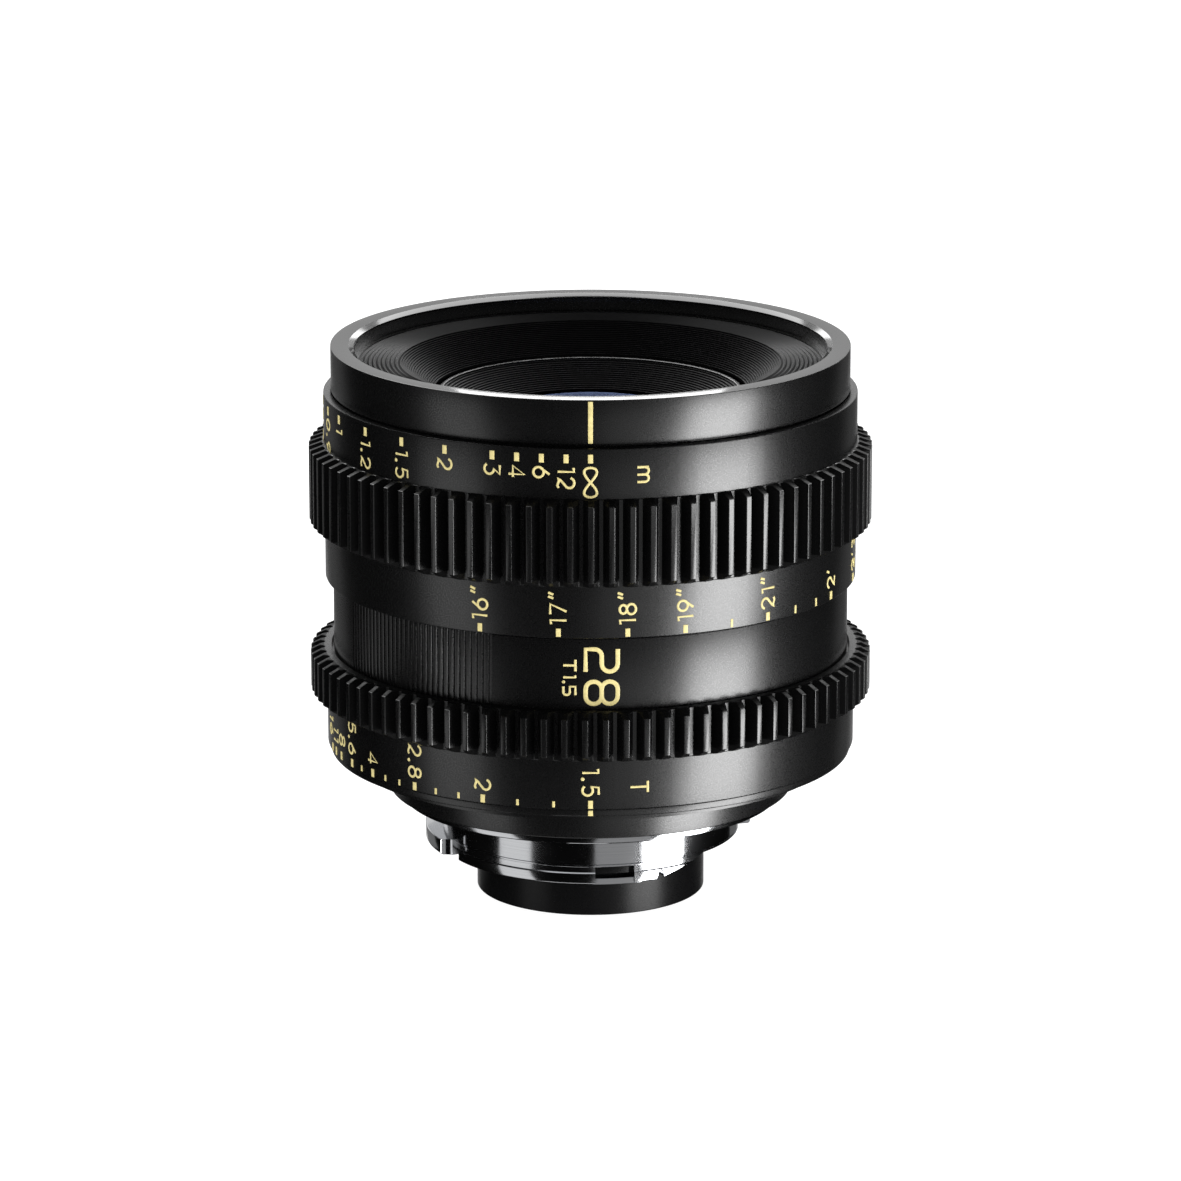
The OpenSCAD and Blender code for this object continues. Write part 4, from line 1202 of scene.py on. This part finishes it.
class LENS_OT_inner_finishes(bpy.types.Operator):
    """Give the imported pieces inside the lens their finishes"""

    bl_idname = "lens.inner_finishes"
    bl_label = "Inner Finishes"

    def execute(self, context):
        finishes = {name: finish for finish, names in INNER_FINISHES.items() for name in names}
        for name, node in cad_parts.items():
            blade = name.startswith("iris_blade")
            finish = "blade_steel" if blade else finishes.get(name, "black_satin")
            node.data.materials.clear()
            node.data.materials.append(FINISHES[finish])
        return {"FINISHED"}


# Studio

# Azimuth from the front, elevation, distance in metres, width and height in metres, watts
LIGHTS = {
    "key_strip": (58, -17, 0.60, (0.34, 0.40), 3.6),
    "front_panel": (20, -17, 0.70, (0.40, 0.44), 0.15),
    "left_strip": (-60, -17, 0.60, (0.28, 0.40), 0.26),
    "left_rim": (-148, 0, 0.70, (0.30, 0.60), 0.09),
    "right_rim": (150, 0, 0.70, (0.30, 0.60), 0.07),
    "back_panel": (180, 20, 0.80, (1, 0.40), 0.9),
    "overhead": (180, 58, 0.90, (1.2, 0.80), 12.5),
    "rim_light": (180, 37.95, 0.0888, (0.036, 0.010), 0.0045),
    "rear_fill": (180, -17, 0.70, (0.45, 0.40), 0.35),
    "table_glow": (0, -68, 0.60, (0.60, 0.30), 0.5),
}
LIGHT_TARGET = 25
FLOOR_GAP, FLOOR_STEPS, FLOOR_SMOOTH = 0.02, 96, 60
FLOOR_CURVE = [(2700, 120), (2950, 500), (3000, 1000), (3000, 3000)]
SKY_STRENGTH = 0.002
CAMERA_LIFT, CAMERA_AWAY, CAMERA_AIM = radians(14.83), 786, 23.3
CAMERA_LENS, CAMERA_SENSOR, CAMERA_SHIFT, CAMERA_CLIP = 186.16, 36, 0.021, 0.01


def softbox(name, azimuth, elevation, distance, size, power):
    """A rectangular light that faces the lens; azimuth 0 stands in front."""
    turn, lift = radians(azimuth), radians(elevation)
    target = Vector((0, 0, LIGHT_TARGET * MM))
    away = Vector((sin(turn) * cos(lift), -cos(turn) * cos(lift),
                   sin(lift)))
    data = bpy.data.lights.new(name, "AREA")
    data.shape = "RECTANGLE"
    data.size, data.size_y = size
    data.energy = power
    lamp = bpy.data.objects.new(name, data)
    lamp.location = target + away * distance
    lamp.rotation_euler = (-away).to_track_quat("-Z", "Y").to_euler()
    lamp.visible_camera = False
    bpy.context.collection.objects.link(lamp)


class LENS_OT_studio(bpy.types.Operator):
    """Set the floor, the lights and the camera"""

    bl_idname = "lens.studio"
    bl_label = "Studio"

    def execute(self, context):
        level = TUBE_LOW - FLOOR_GAP
        floor = turned("studio_floor", [(0, level), (2200, level), *FLOOR_CURVE],
                       FLOOR_SMOOTH, FLOOR_STEPS, closed=False)
        floor.data.materials.append(FINISHES["studio_white"])
        floor.visible_glossy = False
        floor.visible_shadow = False
        for name, values in LIGHTS.items():
            softbox(name, *values)
        world = bpy.data.worlds.new("studio")
        world.use_nodes = True
        sky = world.node_tree.nodes["Background"].inputs
        sky["Color"].default_value = (1, 1, 1, 1)
        sky["Strength"].default_value = SKY_STRENGTH
        context.scene.world = world
        context.scene.view_settings.view_transform = "Standard"
        camera = bpy.data.objects.new("camera", bpy.data.cameras.new("camera"))
        camera.data.lens = CAMERA_LENS
        camera.data.sensor_width = CAMERA_SENSOR
        camera.data.shift_y = CAMERA_SHIFT
        camera.data.clip_start = CAMERA_CLIP
        away = CAMERA_AWAY * MM
        camera.location = (0, -away * cos(CAMERA_LIFT),
                           CAMERA_AIM * MM + away * sin(CAMERA_LIFT))
        camera.rotation_euler = (pi / 2 - CAMERA_LIFT, 0, 0)
        bpy.context.collection.objects.link(camera)
        context.scene.camera = camera
        return {"FINISHED"}


class LENS_PT_pieces(bpy.types.Panel):
    """Sizes, colours and steps of the lens"""

    bl_label = "Cinema Prime Lens"
    bl_idname = "LENS_PT_pieces"
    bl_space_type = "VIEW_3D"
    bl_region_type = "UI"
    bl_category = "Lens"

    def draw(self, context):
        for group in (context.scene.lens_sizes, context.scene.lens_colours):
            column = self.layout.column()
            for key in group.__annotations__:
                column.prop(group, key)
        for operator in OPERATORS:
            self.layout.operator(operator.bl_idname)


GROUPS = (LensSizes, LensColours)
OPERATORS = (
    LENS_OT_front_ring, LENS_OT_front_baffle, LENS_OT_front_cell, LENS_OT_glass,
    LENS_OT_focus_ring, LENS_OT_fixed_barrel, LENS_OT_aperture_ring, LENS_OT_rear_cover,
    LENS_OT_bayonet, LENS_OT_rear_tube, LENS_OT_screws, LENS_OT_distance_marks,
    LENS_OT_stop_marks, LENS_OT_barrel_marks, LENS_OT_inner_finishes, LENS_OT_studio)


def register():
    for item in (*GROUPS, *OPERATORS, LENS_PT_pieces):
        bpy.utils.register_class(item)
    bpy.types.Scene.lens_sizes = bpy.props.PointerProperty(type=LensSizes)
    bpy.types.Scene.lens_colours = bpy.props.PointerProperty(type=LensColours)


def unregister():
    del bpy.types.Scene.lens_colours
    del bpy.types.Scene.lens_sizes
    for item in reversed((*GROUPS, *OPERATORS, LENS_PT_pieces)):
        bpy.utils.unregister_class(item)


def main():
    register()
    make_finishes()
    for operator in OPERATORS:
        group, name = operator.bl_idname.split(".")
        getattr(getattr(bpy.ops, group), name)()


if __name__ == "__main__":
    main()
